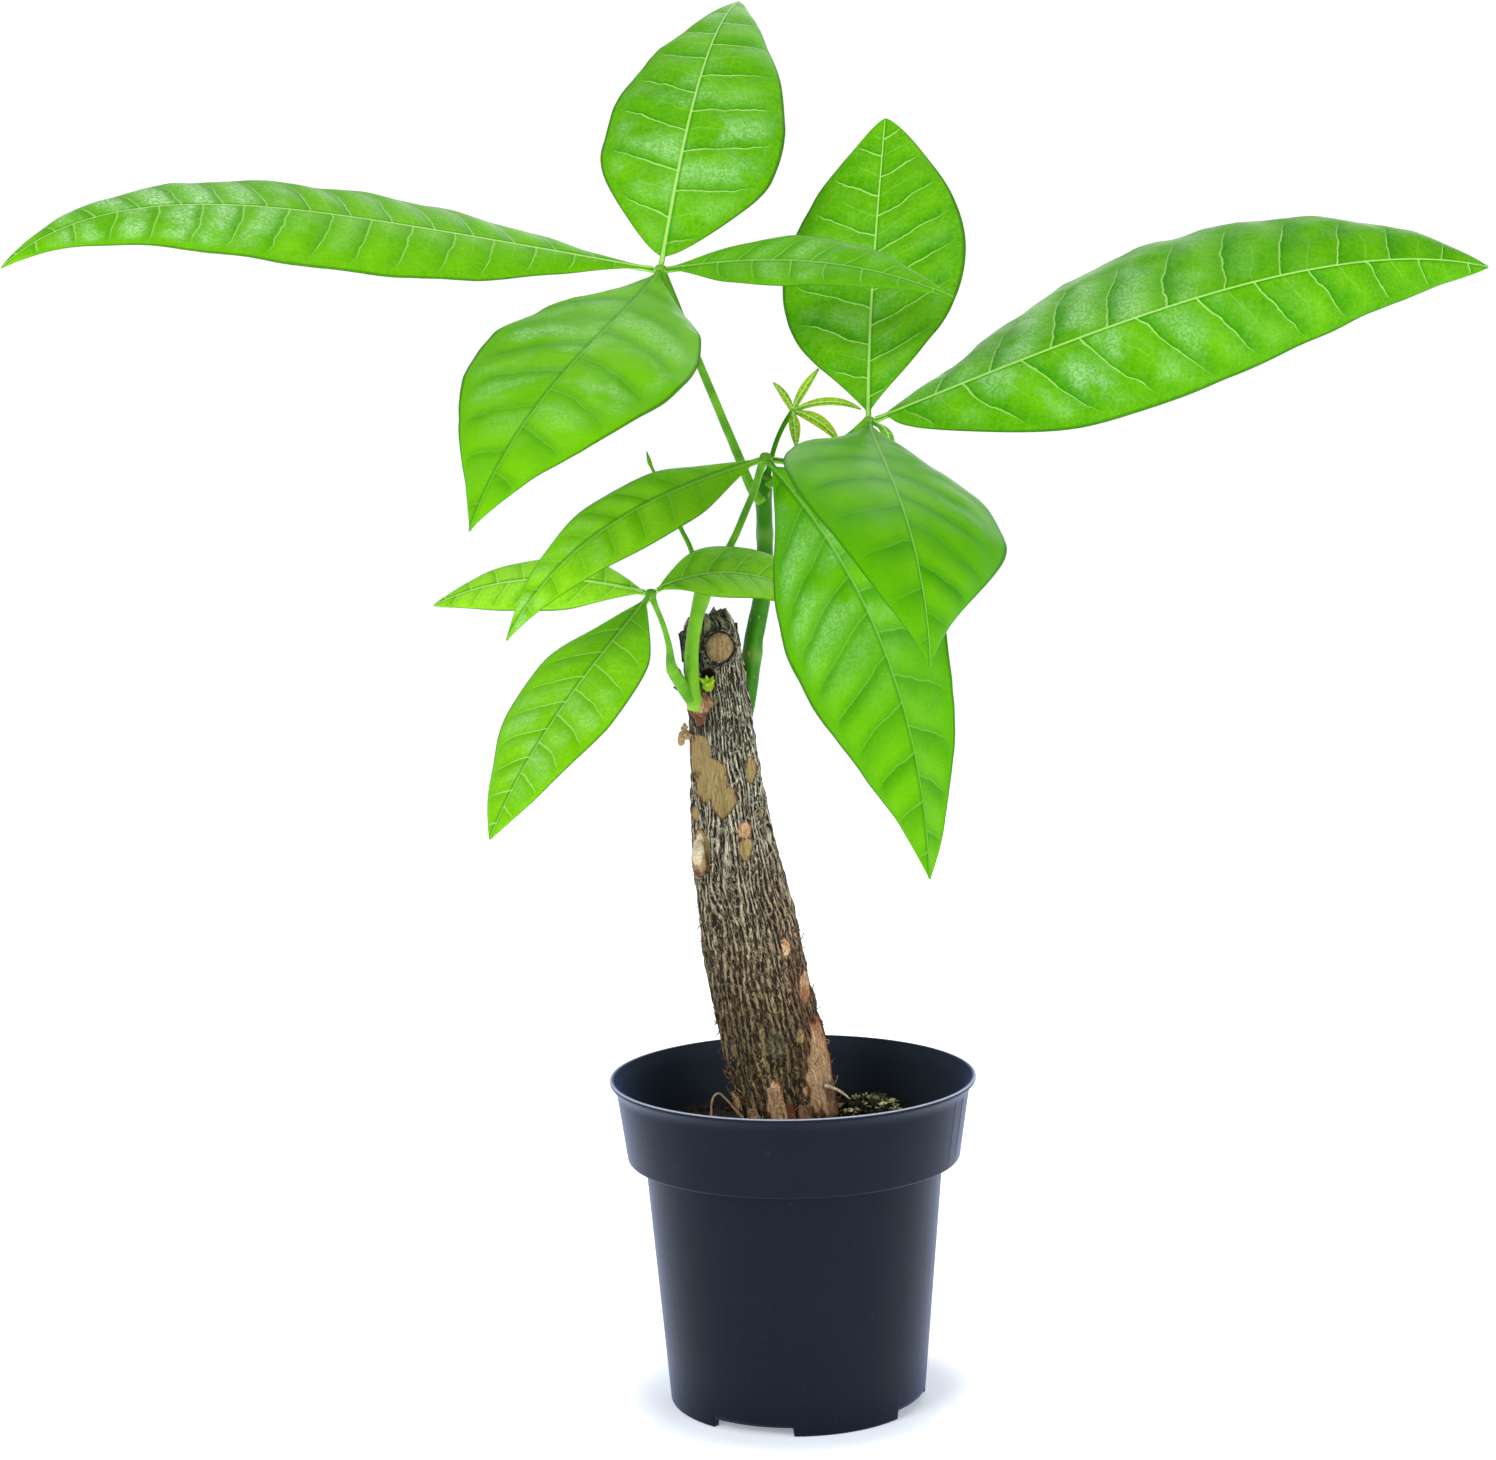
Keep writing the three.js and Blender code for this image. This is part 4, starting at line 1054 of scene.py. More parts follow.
@dataclass
class Trunk:
    """The thick leaning cutting: fissured bark, scars, bare patches, flakes and roots.

    A patch is its kind, x, z, half width, half height and depth. A scar is its azimuth, z and radius, and its section
    is shares of that radius and heights. A flake is its azimuth, z, width, length, lean and how orange it is. A
    swelling is its place, half sizes, unevenness, seed, masks and rows.
    """

    stations: tuple[Station, ...] = (
        (6, -1, 34, 11), (4, -0.5, 48, 13.5), (0, 0, 72, 14.8), (-3.4, 0, 93, 15), (-5.4, 1, 105, 15.2),
        (-8, 1.5, 117, 14.5), (-11.2, 2, 134, 13.9), (-14.2, 2, 151, 12.6), (-16, 2, 167, 10.9),
        (-17.2, 1.5, 181, 9.8), (-19.2, 0.5, 202, 8.9), (-20.8, 0, 218, 8), (-21.4, 0, 224, 7),
        (-21.7, 0, 226.5, 5.4),
    )
    foot: float = 62.0
    crown: float = 214.0
    ridges: int = RIDGES
    rind_radius: float = 14.0
    sides: int = 226
    rows: int = 336
    patches: tuple[Patch, ...] = (
        ("bare", -25.4, 187.0, 4.4, 6.0, 0.5), ("bare", -21.4, 180.8, 5.2, 6.8, 0.5),
        ("bare", -18.2, 175.8, 4.2, 5.4, 0.5), ("bare", -24.8, 159.7, 3.2, 6.3, 0.5),
        ("bare", -12.1, 161.3, 1.9, 3.2, 0.4), ("bare", -10.0, 183.8, 1.7, 3.4, 0.4),
        ("callus", -12.6, 166.8, 1.7, 2.4, 0.3), ("callus", -24.2, 202.6, 3.4, 3.0, 0.2),
        ("dark", -7.4, 171.2, 1.3, 1.9, 0.6), ("callus", 8.2, 98.5, 4.6, 14.5, 0.5),
        ("callus", -5.0, 91.0, 2.6, 5.6, 0.0), ("green", -5.0, 106.3, 2.6, 3.4, 0.0),
        ("dark", -21.6, 211.3, 2.6, 1.8, 1.2), ("callus", -17.0, 88.0, 2.4, 2.4, 0.0),
        ("bare", -26.5, 171.0, 1.2, 2.2, 0.3), ("root", -25.8, 160.4, 1.8, 4.2, 0.0),
        ("callus", 4.0, 121.0, 1.6, 4.5, 0.3), ("callus", -1.0, 133.0, 1.4, 2.4, 0.3),
        ("bare", 2.2, 108.0, 1.2, 2.4, 0.3),
    )
    behind: tuple[Patch, ...] = (
        ("bare", -14.0, 150.0, 5.0, 8.0, 0.5), ("bare", -3.0, 112.0, 4.0, 7.0, 0.5),
        ("callus", -6.0, 90.0, 5.0, 7.0, 0.3), ("green", -10.0, 130.0, 5.0, 9.0, 0.0),
        ("bare", -20.0, 196.0, 3.0, 5.0, 0.4),
    )
    scars: tuple[tuple[float, float, float], ...] = ((-73, 218.6, 4.6), (-40, 171, 1.7))
    scar_sides: int = 48
    scar_section: tuple[tuple[float, float], ...] = (
        (1.2, -2.5), (1.2, -0.3), (1.18, 0.35), (1.12, 0.75), (1.05, 0.85), (1.0, 0.6), (0.96, 0.15),
        (0.92, 0.0), (0.86, 0.25), (0.6, 0.42), (0.35, 0.38), (0.15, 0.5), (0.03, 0.5),
    )
    swellings: tuple[tuple[Any, ...], ...] = (
        ((-24.0, -6.0, 201.3), (3.7, 3.3, 3.8), 0.3, 3, {"callus": 0.6, "dark": 0.3}, 22),
        ((-16.5, 6.4, 187), (4.0, 3.3, 5.0), 0.2, 8, {"callus": 0.25}, 20),
        ((-28.4, -3.2, 193.4), (2.1, 1.2, 1.2), 0.5, 4, {"callus": 0.5, "bare": 0.6}, 16),
        ((-29.7, -3.2, 192.4), (1.0, 0.9, 1.5), 0.5, 5, {"callus": 0.5, "bare": 0.6}, 14),
        ((-28.9, -3.4, 195.4), (0.9, 0.8, 1.2), 0.5, 12, {"callus": 0.5, "bare": 0.6}, 12),
        ((-25.4, -4, 158), (2.4, 4.4, 5.6), 0.16, 6, {"callus": 0.15}, 22),
    )
    flakes: tuple[tuple[float, ...], ...] = (
        (-97, 84.5, 4.6, 10, 1.4, 0.85), (-125, 83.5, 3.4, 4.5, 1.6, 0.9), (-70, 83.5, 3.8, 5.5, 1.2, 0.7),
        (172, 214, 5, 8, 1.1, 0.0), (185, 206, 3.5, 6, 1.3, 0.1), (20, 218, 3.4, 6.4, 0.9, 0.0),
        (-150, 215, 3.0, 8.0, 0.8, 0.0), (-84, 83.5, 2.4, 6.5, 0.9, 0.4), (60, 84, 4.0, 7.0, 1.3, 0.6),
        (120, 120, 3.0, 6.0, 1.0, 0.1), (-28, 84, 3.6, 10.0, 0.9, 0.7),
    )
    flake_rows: int = 14
    flake_columns: int = 9
    looped_root: tuple[Station, ...] = (
        (-14, -11, 84, 0.5), (-18.5, -13, 90, 0.34), (-21.2, -14.4, 92.8, 0.32), (-23.0, -15, 91, 0.32),
        (-23.3, -15.2, 86, 0.32), (-22.2, -15.4, 81.4, 0.32),
    )
    white_root: tuple[Station, ...] = (
        (9.0, -9, 93.2, 0.6), (12.4, -11, 92.4, 0.42), (14.4, -11.8, 91.2, 0.36), (16, -12, 89.8, 0.2))
    twig: tuple[Station, ...] = ((-29, -4, 206, 0.5), (-30.4, -4.4, 206.6, 0.4), (-31.6, -4.6, 207.4, 0.2))
    bristles: int = 240
    bristle_foot: float = 82.0
    bristle_span: float = 78.0
    bristle_radius: float = 0.16

    def at(self, z: Levels) -> tuple[np.ndarray, np.ndarray, np.ndarray]:
        """The trunk's middle and radius at a height.

        Args:
            z: heights.

        Returns:
            x, y and radius at each.
        """
        table = np.array(self.stations)
        return tuple(np.interp(z, table[:, 2], table[:, k]) for k in (0, 1, 3))

    def masks(self, points: np.ndarray, middle: np.ndarray) -> tuple[dict[str, np.ndarray], np.ndarray]:
        """How much of each patch a point of the bark has, and how far the patches sink it.

        Args:
            points: places on the bark.
            middle: how far each is in front of the trunk's middle.

        Returns:
            A share from 0 to 1 for each kind of patch, and the depth.
        """
        ragged = 0.28 * Grain(5).layered(points, (2.6, 2.6, 4.0), 3)
        masks = {kind: np.zeros(points.shape[:-1]) for kind in ("bare", "callus", "dark", "green", "root")}
        depth = np.zeros(points.shape[:-1])
        for patches, facing in ((self.patches, middle > 0), (self.behind, middle < 0)):
            for kind, x, z, half_x, half_z, sunk in patches:
                reach = np.hypot((points[..., 0] - x) / half_x, (points[..., 2] - z) / half_z)
                mask = (1 - ease(reach + ragged, 0.84, 1.02)) * facing
                masks[kind] = np.maximum(masks[kind], mask)
                depth = np.maximum(depth, sunk * mask)
        return masks, depth

    def add_bark(self, shape: Shape) -> None:
        """Adds the bark: cracked plates that run up the trunk, and its ragged top.

        Args:
            shape: what it is added to.
        """
        peak = self.stations[-1][2]
        z = np.linspace(self.foot, peak + 0.3, self.rows)[:, None]
        turn = np.linspace(-math.pi, math.pi, self.sides, endpoint=False)[None]
        x, y, radius = self.at(z)
        straight = around(turn, self.rind_radius, z)
        grain = Grain(2)
        drift = 1.3 * np.sin(z / 23) + 0.5 * np.sin(z / 7.3)
        ribs = np.sin(10 * turn + drift) * np.cos(3 * turn - z / 11)
        lumps = np.sin(2 * turn + z / 19) + 0.6 * np.sin(3 * turn - z / 8.5)
        warp = straight + 1.5 * np.stack([grain.at(straight + k, 7.0) for k in (3, 40, 80)], -1)
        sway = 1.5 * grain.at(straight, (8, 8, 17)) + 0.6 * grain.at(straight + 31, (3.0, 3.0, 7.5))
        line = np.abs(np.sin(math.pi * (self.ridges * turn / math.tau + sway))) ** 0.7
        broken = 0.75 + 0.6 * grain.layered(warp + 60, (2.2, 2.2, 6.0), 2)
        fibre = grain.layered(warp + 9, (1.3, 1.3, 4.5), 3)
        relief = np.clip(0.25 + 0.65 * line * broken + 0.4 * fibre, 0, 1)
        reach = radius + 0.4 * ribs + 0.3 * lumps + 0.62 * (relief - 0.6) + 0.22 * fibre
        rough = around(turn, reach, z, x, y)
        masks, depth = self.masks(rough, y - rough[..., 1])
        flat = np.clip(masks["bare"] + masks["callus"] * 0.5, 0, 1)
        reach = reach - depth - flat * 0.6 * (relief - 0.6)
        ragged = grain.layered(straight, (4.0, 4.0, 9.0), 3)
        top = z + ease(z, self.crown, peak) * (1.6 * np.cos(turn - 0.2) + 2.2 * ragged)
        masks["dark"] = np.maximum(masks["dark"], 0.35 * ease(z, peak - 2.0, peak - 0.1))
        masks["root"] = np.maximum(masks["root"], 0.6 * ease(z, peak - 5.5, peak - 3.0) * ease(ragged, 0.0, 0.5))
        shape.tube(around(turn, reach, top, x, y), {"sway": sway, **masks}, straight)

    def add_scar(self, shape: Shape, azimuth: float, z: float, radius: float) -> None:
        """Adds a round branch scar: a raised ring of bark with bare wood inside, and painted shade in its groove and
        on its wound.

        Args:
            shape: what it is added to.
            azimuth: where it is round the trunk, in degrees.
            z: its height.
            radius: its radius.
        """
        x, y, reach = (float(level) for level in self.at(z))
        angle = math.radians(azimuth)
        out = np.array([math.cos(angle), math.sin(angle), 0.0])
        side = np.array([-math.sin(angle), math.cos(angle), 0.0])
        up = np.array([0.0, 0.0, 1.0])
        turn = circle(self.scar_sides)
        section = np.array(self.scar_section)
        shares, heights = section[:, :1], section[:, 1:]
        uneven = Grain(9).layered(around(turn, shares, heights) * radius + z, 1.3, 2)
        spread = radius * (1 + 0.07 * uneven)
        centre = np.array([x, y, z]) + out * (reach + 0.35)
        rings = (centre + out * (heights + 0.22 * uneven)[..., None]
                 + side * (shares * np.cos(turn) * spread)[..., None]
                 + up * (shares * np.sin(turn) * spread)[..., None])
        inside = 1 - ease(shares, 0.84, 0.95)
        # Painted shade in the groove round the wound.
        painted_groove_shade = np.exp(-((shares - 0.93) / 0.05) ** 2)
        # The wound is darkened evenly and at random, with painted shade towards its left.
        shade = inside * (0.28 - 0.2 * np.cos(turn) * shares + 0.3 * np.maximum(0, uneven))
        shape.tube(rings, {"bare": inside * 0.9, "callus": inside * 0.3, "dark": painted_groove_shade * 0.9 + shade}, rings)

    def settle(self, shape: Shape) -> None:
        """Gives the swellings on the trunk the same grain and patches as the bark round them.

        Args:
            shape: the trunk's shape, whose swellings are the parts without a stored place.
        """
        for index, place in enumerate(shape.places):
            if place is None:
                points = shape.points[index]
                x, y, _ = self.at(points[:, 2])
                turn = np.arctan2(points[:, 1] - y, points[:, 0] - x)
                shape.places[index] = around(turn, self.rind_radius, points[:, 2])
                masks, _ = self.masks(points, y - points[:, 1])
                given = shape.numbers[index]
                given.update({kind: np.maximum(mask, given.get(kind, 0)) for kind, mask in masks.items()})

    def add_flake(self, shape: Shape, azimuth: float, z: float, width: float, length: float, lean: float,
                  callus: float) -> None:
        """Adds a strip of loose bark that stands off the trunk at its upper end.

        Args:
            shape: what it is added to.
            azimuth: where it is round the trunk, in degrees.
            z: the height of its foot.
            width: its width.
            length: its length.
            lean: how far its upper end stands off.
            callus: how orange it is.
        """
        t = np.linspace(0, 1, self.flake_rows)[:, None]
        u = np.linspace(-1, 1, self.flake_columns)[None]
        x, y, reach = self.at(z + length * t)
        taper = width / 2 * (1 - 0.3 * t**3)
        sheet = np.stack(np.broadcast_arrays(t * 9, u * 3, z), -1)
        ragged = Grain(int(azimuth) % 11).layered(sheet, 2.0, 2)
        turn = math.radians(azimuth) + u * taper / reach
        inner = reach + 0.1 + lean * t**2 + 0.25 * ragged * t
        top = z + length * t + 0.9 * ragged * t
        outside, inside = (around(turn, inner + thick, top, x, y) for thick in (0.55 - 0.3 * t, 0.0))
        loop = np.concatenate([outside, inside[:, ::-1]], 1)
        shape.tube(loop, {"callus": callus}, loop)

    def add_bristles(self, shape: Shape) -> None:
        """Adds the short dry fibres that stand off the bark, most of them low down.

        Args:
            shape: what they are added to.
        """
        rng = np.random.default_rng(17)
        for _ in range(self.bristles):
            z = self.bristle_foot + self.bristle_span * rng.uniform() ** 1.7
            turn = rng.uniform(-math.pi, math.pi)
            x, y, reach = (float(level) for level in self.at(z))
            out = np.array([math.cos(turn), math.sin(turn), 0.0])
            aside = np.array([-math.sin(turn), math.cos(turn), 0.0]) * rng.uniform(-1, 1)
            root = np.array([x, y, z]) + out * (reach - 0.3)
            length, lift = rng.uniform(0.9, 2.4), rng.uniform(-0.8, 1.4)
            stations = []
            for t in (0.0, 0.4, 0.75, 1.0):
                rise = np.array([0, 0, lift * length * t**1.5])
                middle = root + out * length * t * (1 - 0.35 * t) + aside * length * t**2 + rise
                stations.append([*middle, self.bristle_radius * (1 - 0.8 * t)])
            rings, _ = swept(stations, 4, 0.6)
            shape.tube(rings, {"callus": rng.uniform(0.3, 1.0)}, rings)

    def build(self, finish: bpy.types.Material) -> bpy.types.Object:
        """Builds the trunk and what grows on it, and sets it in place.

        Args:
            finish: the bark.

        Returns:
            The trunk.
        """
        shape = Shape("woody_trunk")
        self.add_bark(shape)
        for scar in self.scars:
            self.add_scar(shape, *scar)
        for swelling in self.swellings:
            shape.lump(*swelling)
        for flake in self.flakes:
            self.add_flake(shape, *flake)
        for stations, masks in ((self.looped_root, {"root": 0.35, "callus": 0.6}), (self.white_root, {"root": 1.0}),
                                (self.twig, {"dark": 0.8})):
            rings, _ = swept(stations, 12, 0.5)
            shape.tube(rings, masks, rings)
        self.add_bristles(shape)
        self.settle(shape)
        trunk = shape.make(finish)
        place_piece(trunk, "bark", "trunk")
        return trunk


# Soil and moss

@dataclass
class Bed:
    """The potting mix in the pot and the moss on it.

    The plug is the radius and height of each corner of its side, and the spiral is the angle from one clump of moss
    to the next.
    """

    level: float = 77.0
    mound: float = 3.5
    mound_reach: float = 15.0
    heap: float = 3.0
    heap_reach: float = 9.0
    wall_radius: float = 46.3
    sides: int = 220
    rows: int = 90
    plug: tuple[tuple[float, float], ...] = ((34.5, 4.5), (35.2, 5.4), (41.0, 72.4), (45.8, 72.5), (46.3, 75.0))
    moss_middle: tuple[float, float] = (22.6, 3.5)
    moss_reach: tuple[float, float] = (9.6, 6.0)
    moss_height: float = 4.2
    crumbs: int = 420
    crumb_ring: tuple[float, float] = (14.0, 31.0)
    chips_from: float = 0.7
    pale_from: float = 0.93
    clumps: int = 26
    spiral: float = 2.4
    fronds: int = 20
    frond_radius: float = 0.48

    def height(self, x: Levels, y: Levels) -> np.ndarray:
        """The soil's height, heaped at the trunk and under the moss.

        Args:
            x: places to the right.
            y: places to the back.

        Returns:
            The heights.
        """
        from_trunk = np.hypot(x + 0.8, y) / self.mound_reach
        from_moss = np.hypot(x - self.moss_middle[0], y - self.moss_middle[1]) / self.heap_reach
        grain = 0.35 * np.sin(x / 2.3 + 1) * np.cos(y / 2.9) + 0.3 * np.sin((x + y) / 4.1)
        return (self.level + self.mound * np.exp(-0.5 * from_trunk**2)
                + self.heap * np.exp(-0.5 * from_moss**2) + grain)

    def soil(self, finish: bpy.types.Material) -> bpy.types.Object:
        """Builds the soil with its crumbs, chips and pale grains.

        Args:
            finish: the potting mix.

        Returns:
            The soil.
        """
        shape = Shape("potting_soil")
        turn = circle(self.sides)
        reach = (self.wall_radius * (1 - np.linspace(0, 0.985, self.rows) ** 1.1))[:, None]
        flat = around(turn, reach, 0.0)
        x, y = flat[..., 0], flat[..., 1]
        grain = Grain(11)
        grit = (0.7 * grain.at(flat, 2.6) + 0.45 * grain.at(flat + 9, 1.2)
                + 0.5 * np.maximum(0, grain.at(flat + 30, 3.4)))
        side = [around(turn, radius, z) for radius, z in self.plug]
        shape.tube(np.concatenate([np.stack(side), around(turn, reach, self.height(x, y) + grit)]))
        rng = np.random.default_rng(31)
        inner, span = self.crumb_ring
        for index in range(self.crumbs):
            angle, out = rng.uniform(0, math.tau), inner + span * math.sqrt(rng.uniform())
            x, y = out * math.cos(angle), out * math.sin(angle)
            size = rng.uniform(0.4, 1.0) ** 2 * 1.9
            kind = rng.uniform()
            chip = float(self.chips_from < kind <= self.pale_from) * rng.uniform(0.4, 1)
            long = rng.uniform(1.5, 2.4) if kind > self.chips_from else 1.15
            at = (x, y, float(self.height(x, y)) + 0.45 * size)
            shape.lump(at, (size * long, size, size * 0.7), 0.35, index,
                       {"pale": float(kind > self.pale_from), "chip": chip}, 6, rng.uniform(0, 180))
        soil = shape.make(finish)
        place_piece(soil, "soil", "soil")
        return soil

    def add_clump(self, shape: Shape, index: int, rng: np.random.Generator) -> None:
        """Adds one clump of moss: a dark core, and on most of them two cushions, with short curved fronds.

        Args:
            shape: what it is added to.
            index: its number, from the middle of the moss outwards.
            rng: what the fronds' places are drawn from.
        """
        angle, out = index * self.spiral, math.sqrt((index + 0.5) / self.clumps)
        x = self.moss_middle[0] + out * self.moss_reach[0] * math.cos(angle)
        y = self.moss_middle[1] + out * self.moss_reach[1] * math.sin(angle)
        lush = index % 3 > 0
        size = rng.uniform(0.9, 1.9)
        pale = (1 - 0.6 * out) * (1.0 if lush else 0.2)
        ground = float(self.height(x, y)) + self.moss_height * (1 - out**2)
        shape.lump((x, y, ground + 0.3 * size), (size * 1.2, size, size * 1.1), 0.5, index + 60, {"tip": 0.0}, 8)
        for _ in range(2 if lush else 0):
            aside, ahead, lift = rng.uniform(-1.6, 1.6), rng.uniform(-1.6, 0.4), rng.uniform(0.9, 1.5)
            sizes = (rng.uniform(0.7, 1.5), 0.7, rng.uniform(0.35, 0.7))
            shape.lump((x + aside, y + ahead, ground + lift * size), sizes, 0.55, index + 90,
                       {"tip": rng.uniform(-0.9, 1.1)}, 7, rng.uniform(-60, 60))
        for _ in range(self.fronds):
            lean, slope = rng.uniform(0, math.tau), rng.uniform(0.15, 1.4)
            way = pointing(lean, slope)
            root = np.array([x, y, ground + 0.4 * size]) + way * size * 0.6
            length = rng.uniform(1.0, 2.6)
            droop = np.array([0.0, 0.0, -0.35 * length])
            stations = [[*(root + way * length * t + droop * t**2), self.frond_radius * (1 - 0.6 * t)]
                        for t in (0.0, 0.35, 0.7, 1.0)]
            rings, shares = swept(stations, 5, 0.6)
            shape.tube(rings, {"tip": ease(shares[:, None], 0.1, 0.7) * pale * rng.uniform(-0.3, 0.8)})

    def moss(self, finish: bpy.types.Material) -> bpy.types.Object:
        """Builds the moss: clumps of short curved fronds with dark gaps between them.

        Args:
            finish: the moss.

        Returns:
            The moss.
        """
        shape = Shape("moss_tuft")
        rng = np.random.default_rng(8)
        for index in range(self.clumps):
            self.add_clump(shape, index, rng)
        moss = shape.make(finish)
        place_piece(moss, "moss", "moss")
        return moss


# Leaves

HALF_THICKNESS = 0.17   # of a blade, in millimetres
STALK_THICKNESS = 0.5   # added to it where the blade leaves its stalk
STALK_REACH = 6.0       # how far from its start a blade is thicker
MIDRIB_POINTS = 400     # that the line of a midrib is worked out at
LEAST_ROWS = 18         # of points, along a blade
LEAST_COLUMNS = 13      # and across it
ROW_STEP = 1.15         # between a blade's rows of points
COLUMN_STEP = 2.6       # between its columns
CROWDING = 1.25         # how much closer the columns are at its edges, as an angle
VEIN_GAP = 0.86         # between two side veins, as a share of their spacing on the midrib
WAVE_HEIGHT = 0.32      # of a wavy margin
WAVE_LENGTH = 26.0


class Tone(Enum):
    """How deep a leaflet's green is: young and bright, or fully grown."""

    FRESH = 0.0
    BRIGHT = 0.1
    GROWN = 0.22
    DEEP = 0.36


@dataclass(frozen=True)
class Leaflet:
    """One blade.

    It leaves its hub at a heading and a rise, droops and sweeps along its length, and is banked by roll and twist.
    Fold lifts its halves and curl bends their edges down. Widest is where it is widest, full how rounded its outline
    is, and slant how far its side veins lean forward. Puff quilts it and clear sharpens its veins. Its finish also
    reads the tone, painted shade across each quilt between veins, a painted lightening of the whole leaflet, and a
    whitish painted sheen with where along the blade it is strongest.
    """

    hub: Point
    heading: float
    rise: float
    droop: float
    bend: float
    sweep: float
    length: float
    width: float
    widest: float
    full: float
    roll: float
    twist: float
    fold: float
    curl: float
    skew: float
    tone: Tone = Tone.BRIGHT
    veins: int = 12
    clear: float = 0.6
    pale_rib: float = 0.85
    # Painted sheen: its strength, and where along the blade it is strongest.
    gloss: float = 0.4
    painted_sheen_at: float = 0.4
    blunt: float = 0.0
    slant: float = 0.42
    # Painted shade across the quilts between veins.
    bands: float = 0.3
    puff: float = 1.0
    # Painted light: how much lighter the whole leaflet is painted, most for leaflets that face away from the lamps.
    light: float = 0.16
    start: float = 2.2

    def direction(self, share: np.ndarray) -> np.ndarray:
        """Which way the midrib runs at a share of its length."""
        slope = np.radians(self.rise - self.droop * share**self.bend)
        return pointing(np.radians(self.heading + self.sweep * share), slope)

    def midrib(self, share: np.ndarray) -> np.ndarray:
        """Where the midrib is at a share of its length.

        Args:
            share: shares from 0 to 1.

        Returns:
            One point for each share.
        """
        fine = np.linspace(0, 1, MIDRIB_POINTS)
        way = self.direction((fine[1:] + fine[:-1]) / 2) * self.length / (len(fine) - 1)
        line = np.array(self.hub) + self.direction(np.array(0.0)) * self.start + np.concatenate(
            [np.zeros((1, 3)), np.cumsum(way, axis=0)])
        return np.stack([np.interp(share, fine, line[:, k]) for k in range(3)], -1)

    def half_width(self, share: np.ndarray) -> np.ndarray:
        """Half the blade's width along its length.

        Args:
            share: shares of its length, from 0 to 1.

        Returns:
            Half the width at each.
        """
        along = np.clip((share - 0.02) / 0.98, 0, 1)
        shift = math.log(0.5) / math.log(self.widest)
        outline = np.maximum(0, np.sin(math.pi * along**shift)) ** self.full * (0.72 + 0.28 * ease(along, 0, 0.28))
        rounding = np.sqrt(np.maximum(0, 1 - (np.maximum(share - 0.94, 0) / 0.06) ** 2))
        tip = self.blunt * ease(share, 0.75, 0.95) * rounding
        return np.hypot(outline * self.width / 2, 0.75 - 0.45 * share + tip)

    def lean(self, out: np.ndarray, half: np.ndarray) -> np.ndarray:
        """How far a side vein has run towards the tip, in vein spacings, at a share of the half width."""
        bow = 0.14 * out**2 + 0.8 * np.maximum(0, out - 0.72) ** 2
        return self.veins / self.length * half * (self.slant * out + bow)

    def add_to(self, shape: Shape) -> None:
        """Adds the blade, quilted between its veins, and its raised midrib.

        Args:
            shape: what they are added to.
        """
        even = np.linspace(0, 1, max(LEAST_ROWS, int(self.length / ROW_STEP)))
        share = (0.7 * even + 0.15 * (1 - np.cos(math.pi * even)))[:, None]
        columns = max(LEAST_COLUMNS, 2 * int(self.width / COLUMN_STEP) + 1)
        column = np.sin(np.linspace(-1, 1, columns) * CROWDING) / math.sin(CROWDING)
        loop = np.concatenate([column, column[-2:0:-1]])[None]
        face = np.concatenate([np.ones(columns), -np.ones(columns - 2)])[None]
        face[0, [0, columns - 1]] = 0
        out, hand = np.abs(loop), np.sign(loop)

        way = self.direction(share[:, 0])
        side = unit(np.cross(way, (0, 0, 1)))
        lift = np.cross(side, way)
        bank = np.radians(self.roll + self.twist * share)
        across = side * np.cos(bank) + lift * np.sin(bank)
        up = np.cross(across, way)
        fold, curl = math.radians(self.fold), math.radians(self.curl)
        half = self.half_width(share)
        width = half * (1 + hand * self.skew)
        slope = fold - curl * out
        sideways = hand * width * (math.sin(fold) - np.sin(slope)) / curl
        upward = width * (np.cos(slope) - math.cos(fold)) / curl
        normal = up[:, None] * np.cos(slope)[..., None] - across[:, None] * (hand * np.sin(slope))[..., None]

        turns = math.tau * share * self.length / WAVE_LENGTH
        wave = WAVE_HEIGHT * out**2 * np.minimum(1, half / 10) * np.sin(turns + hand)
        run, lean = self.veins * share, self.lean(out, half)
        phase = run - lean + 0.5 * (loop > 0)
        size = np.minimum(1, half / 16) * self.length / self.veins / 10
        quilt = (0.5 - 0.5 * np.cos(math.tau * phase)) ** 0.7 - 0.5
        quilt = self.puff * (0.08 + 0.42 * self.clear) * size * quilt
        quilt = quilt * ease(out, 0.02, 0.3) * (1 - 0.9 * ease(out, 0.66, 0.98))
        spine = self.midrib(share[:, 0])[:, None]
        spine = spine + across[:, None] * sideways[..., None] + up[:, None] * upward[..., None]
        flat = spine + normal * wave[..., None]
        ripple = 0.2 * size * Grain(4).layered(flat, 7.0, 2) * ease(out, 0.0, 0.4)
        stalk = np.maximum(0, 1 - share * self.length / STALK_REACH)
        thick = (HALF_THICKNESS + STALK_THICKNESS * stalk) * np.sqrt(np.maximum(0, 1 - out ** (2 + 5 * (1 - stalk))))
        points = flat + normal * (quilt * (1 - stalk) + ripple + face * thick)[..., None]
        # The finish paints shade across the quilts, light over the leaflet and a sheen from the numbers stored here.
        shape.tube(points, {
            "across": loop, "share": share, "run": run, "lean": lean, "half": half, "under": 0.5 - 0.5 * face,
            "spacing": VEIN_GAP * self.length / self.veins, "tone": self.tone.value, "clear": self.clear,
            "pale_rib": self.pale_rib, "bands": self.bands, "light": self.light,
            "gloss": self.gloss * np.exp(-(((share - self.painted_sheen_at) / 0.22) ** 2)) * (1 - 0.5 * out**3),
        })
        self.add_rib(shape, up)

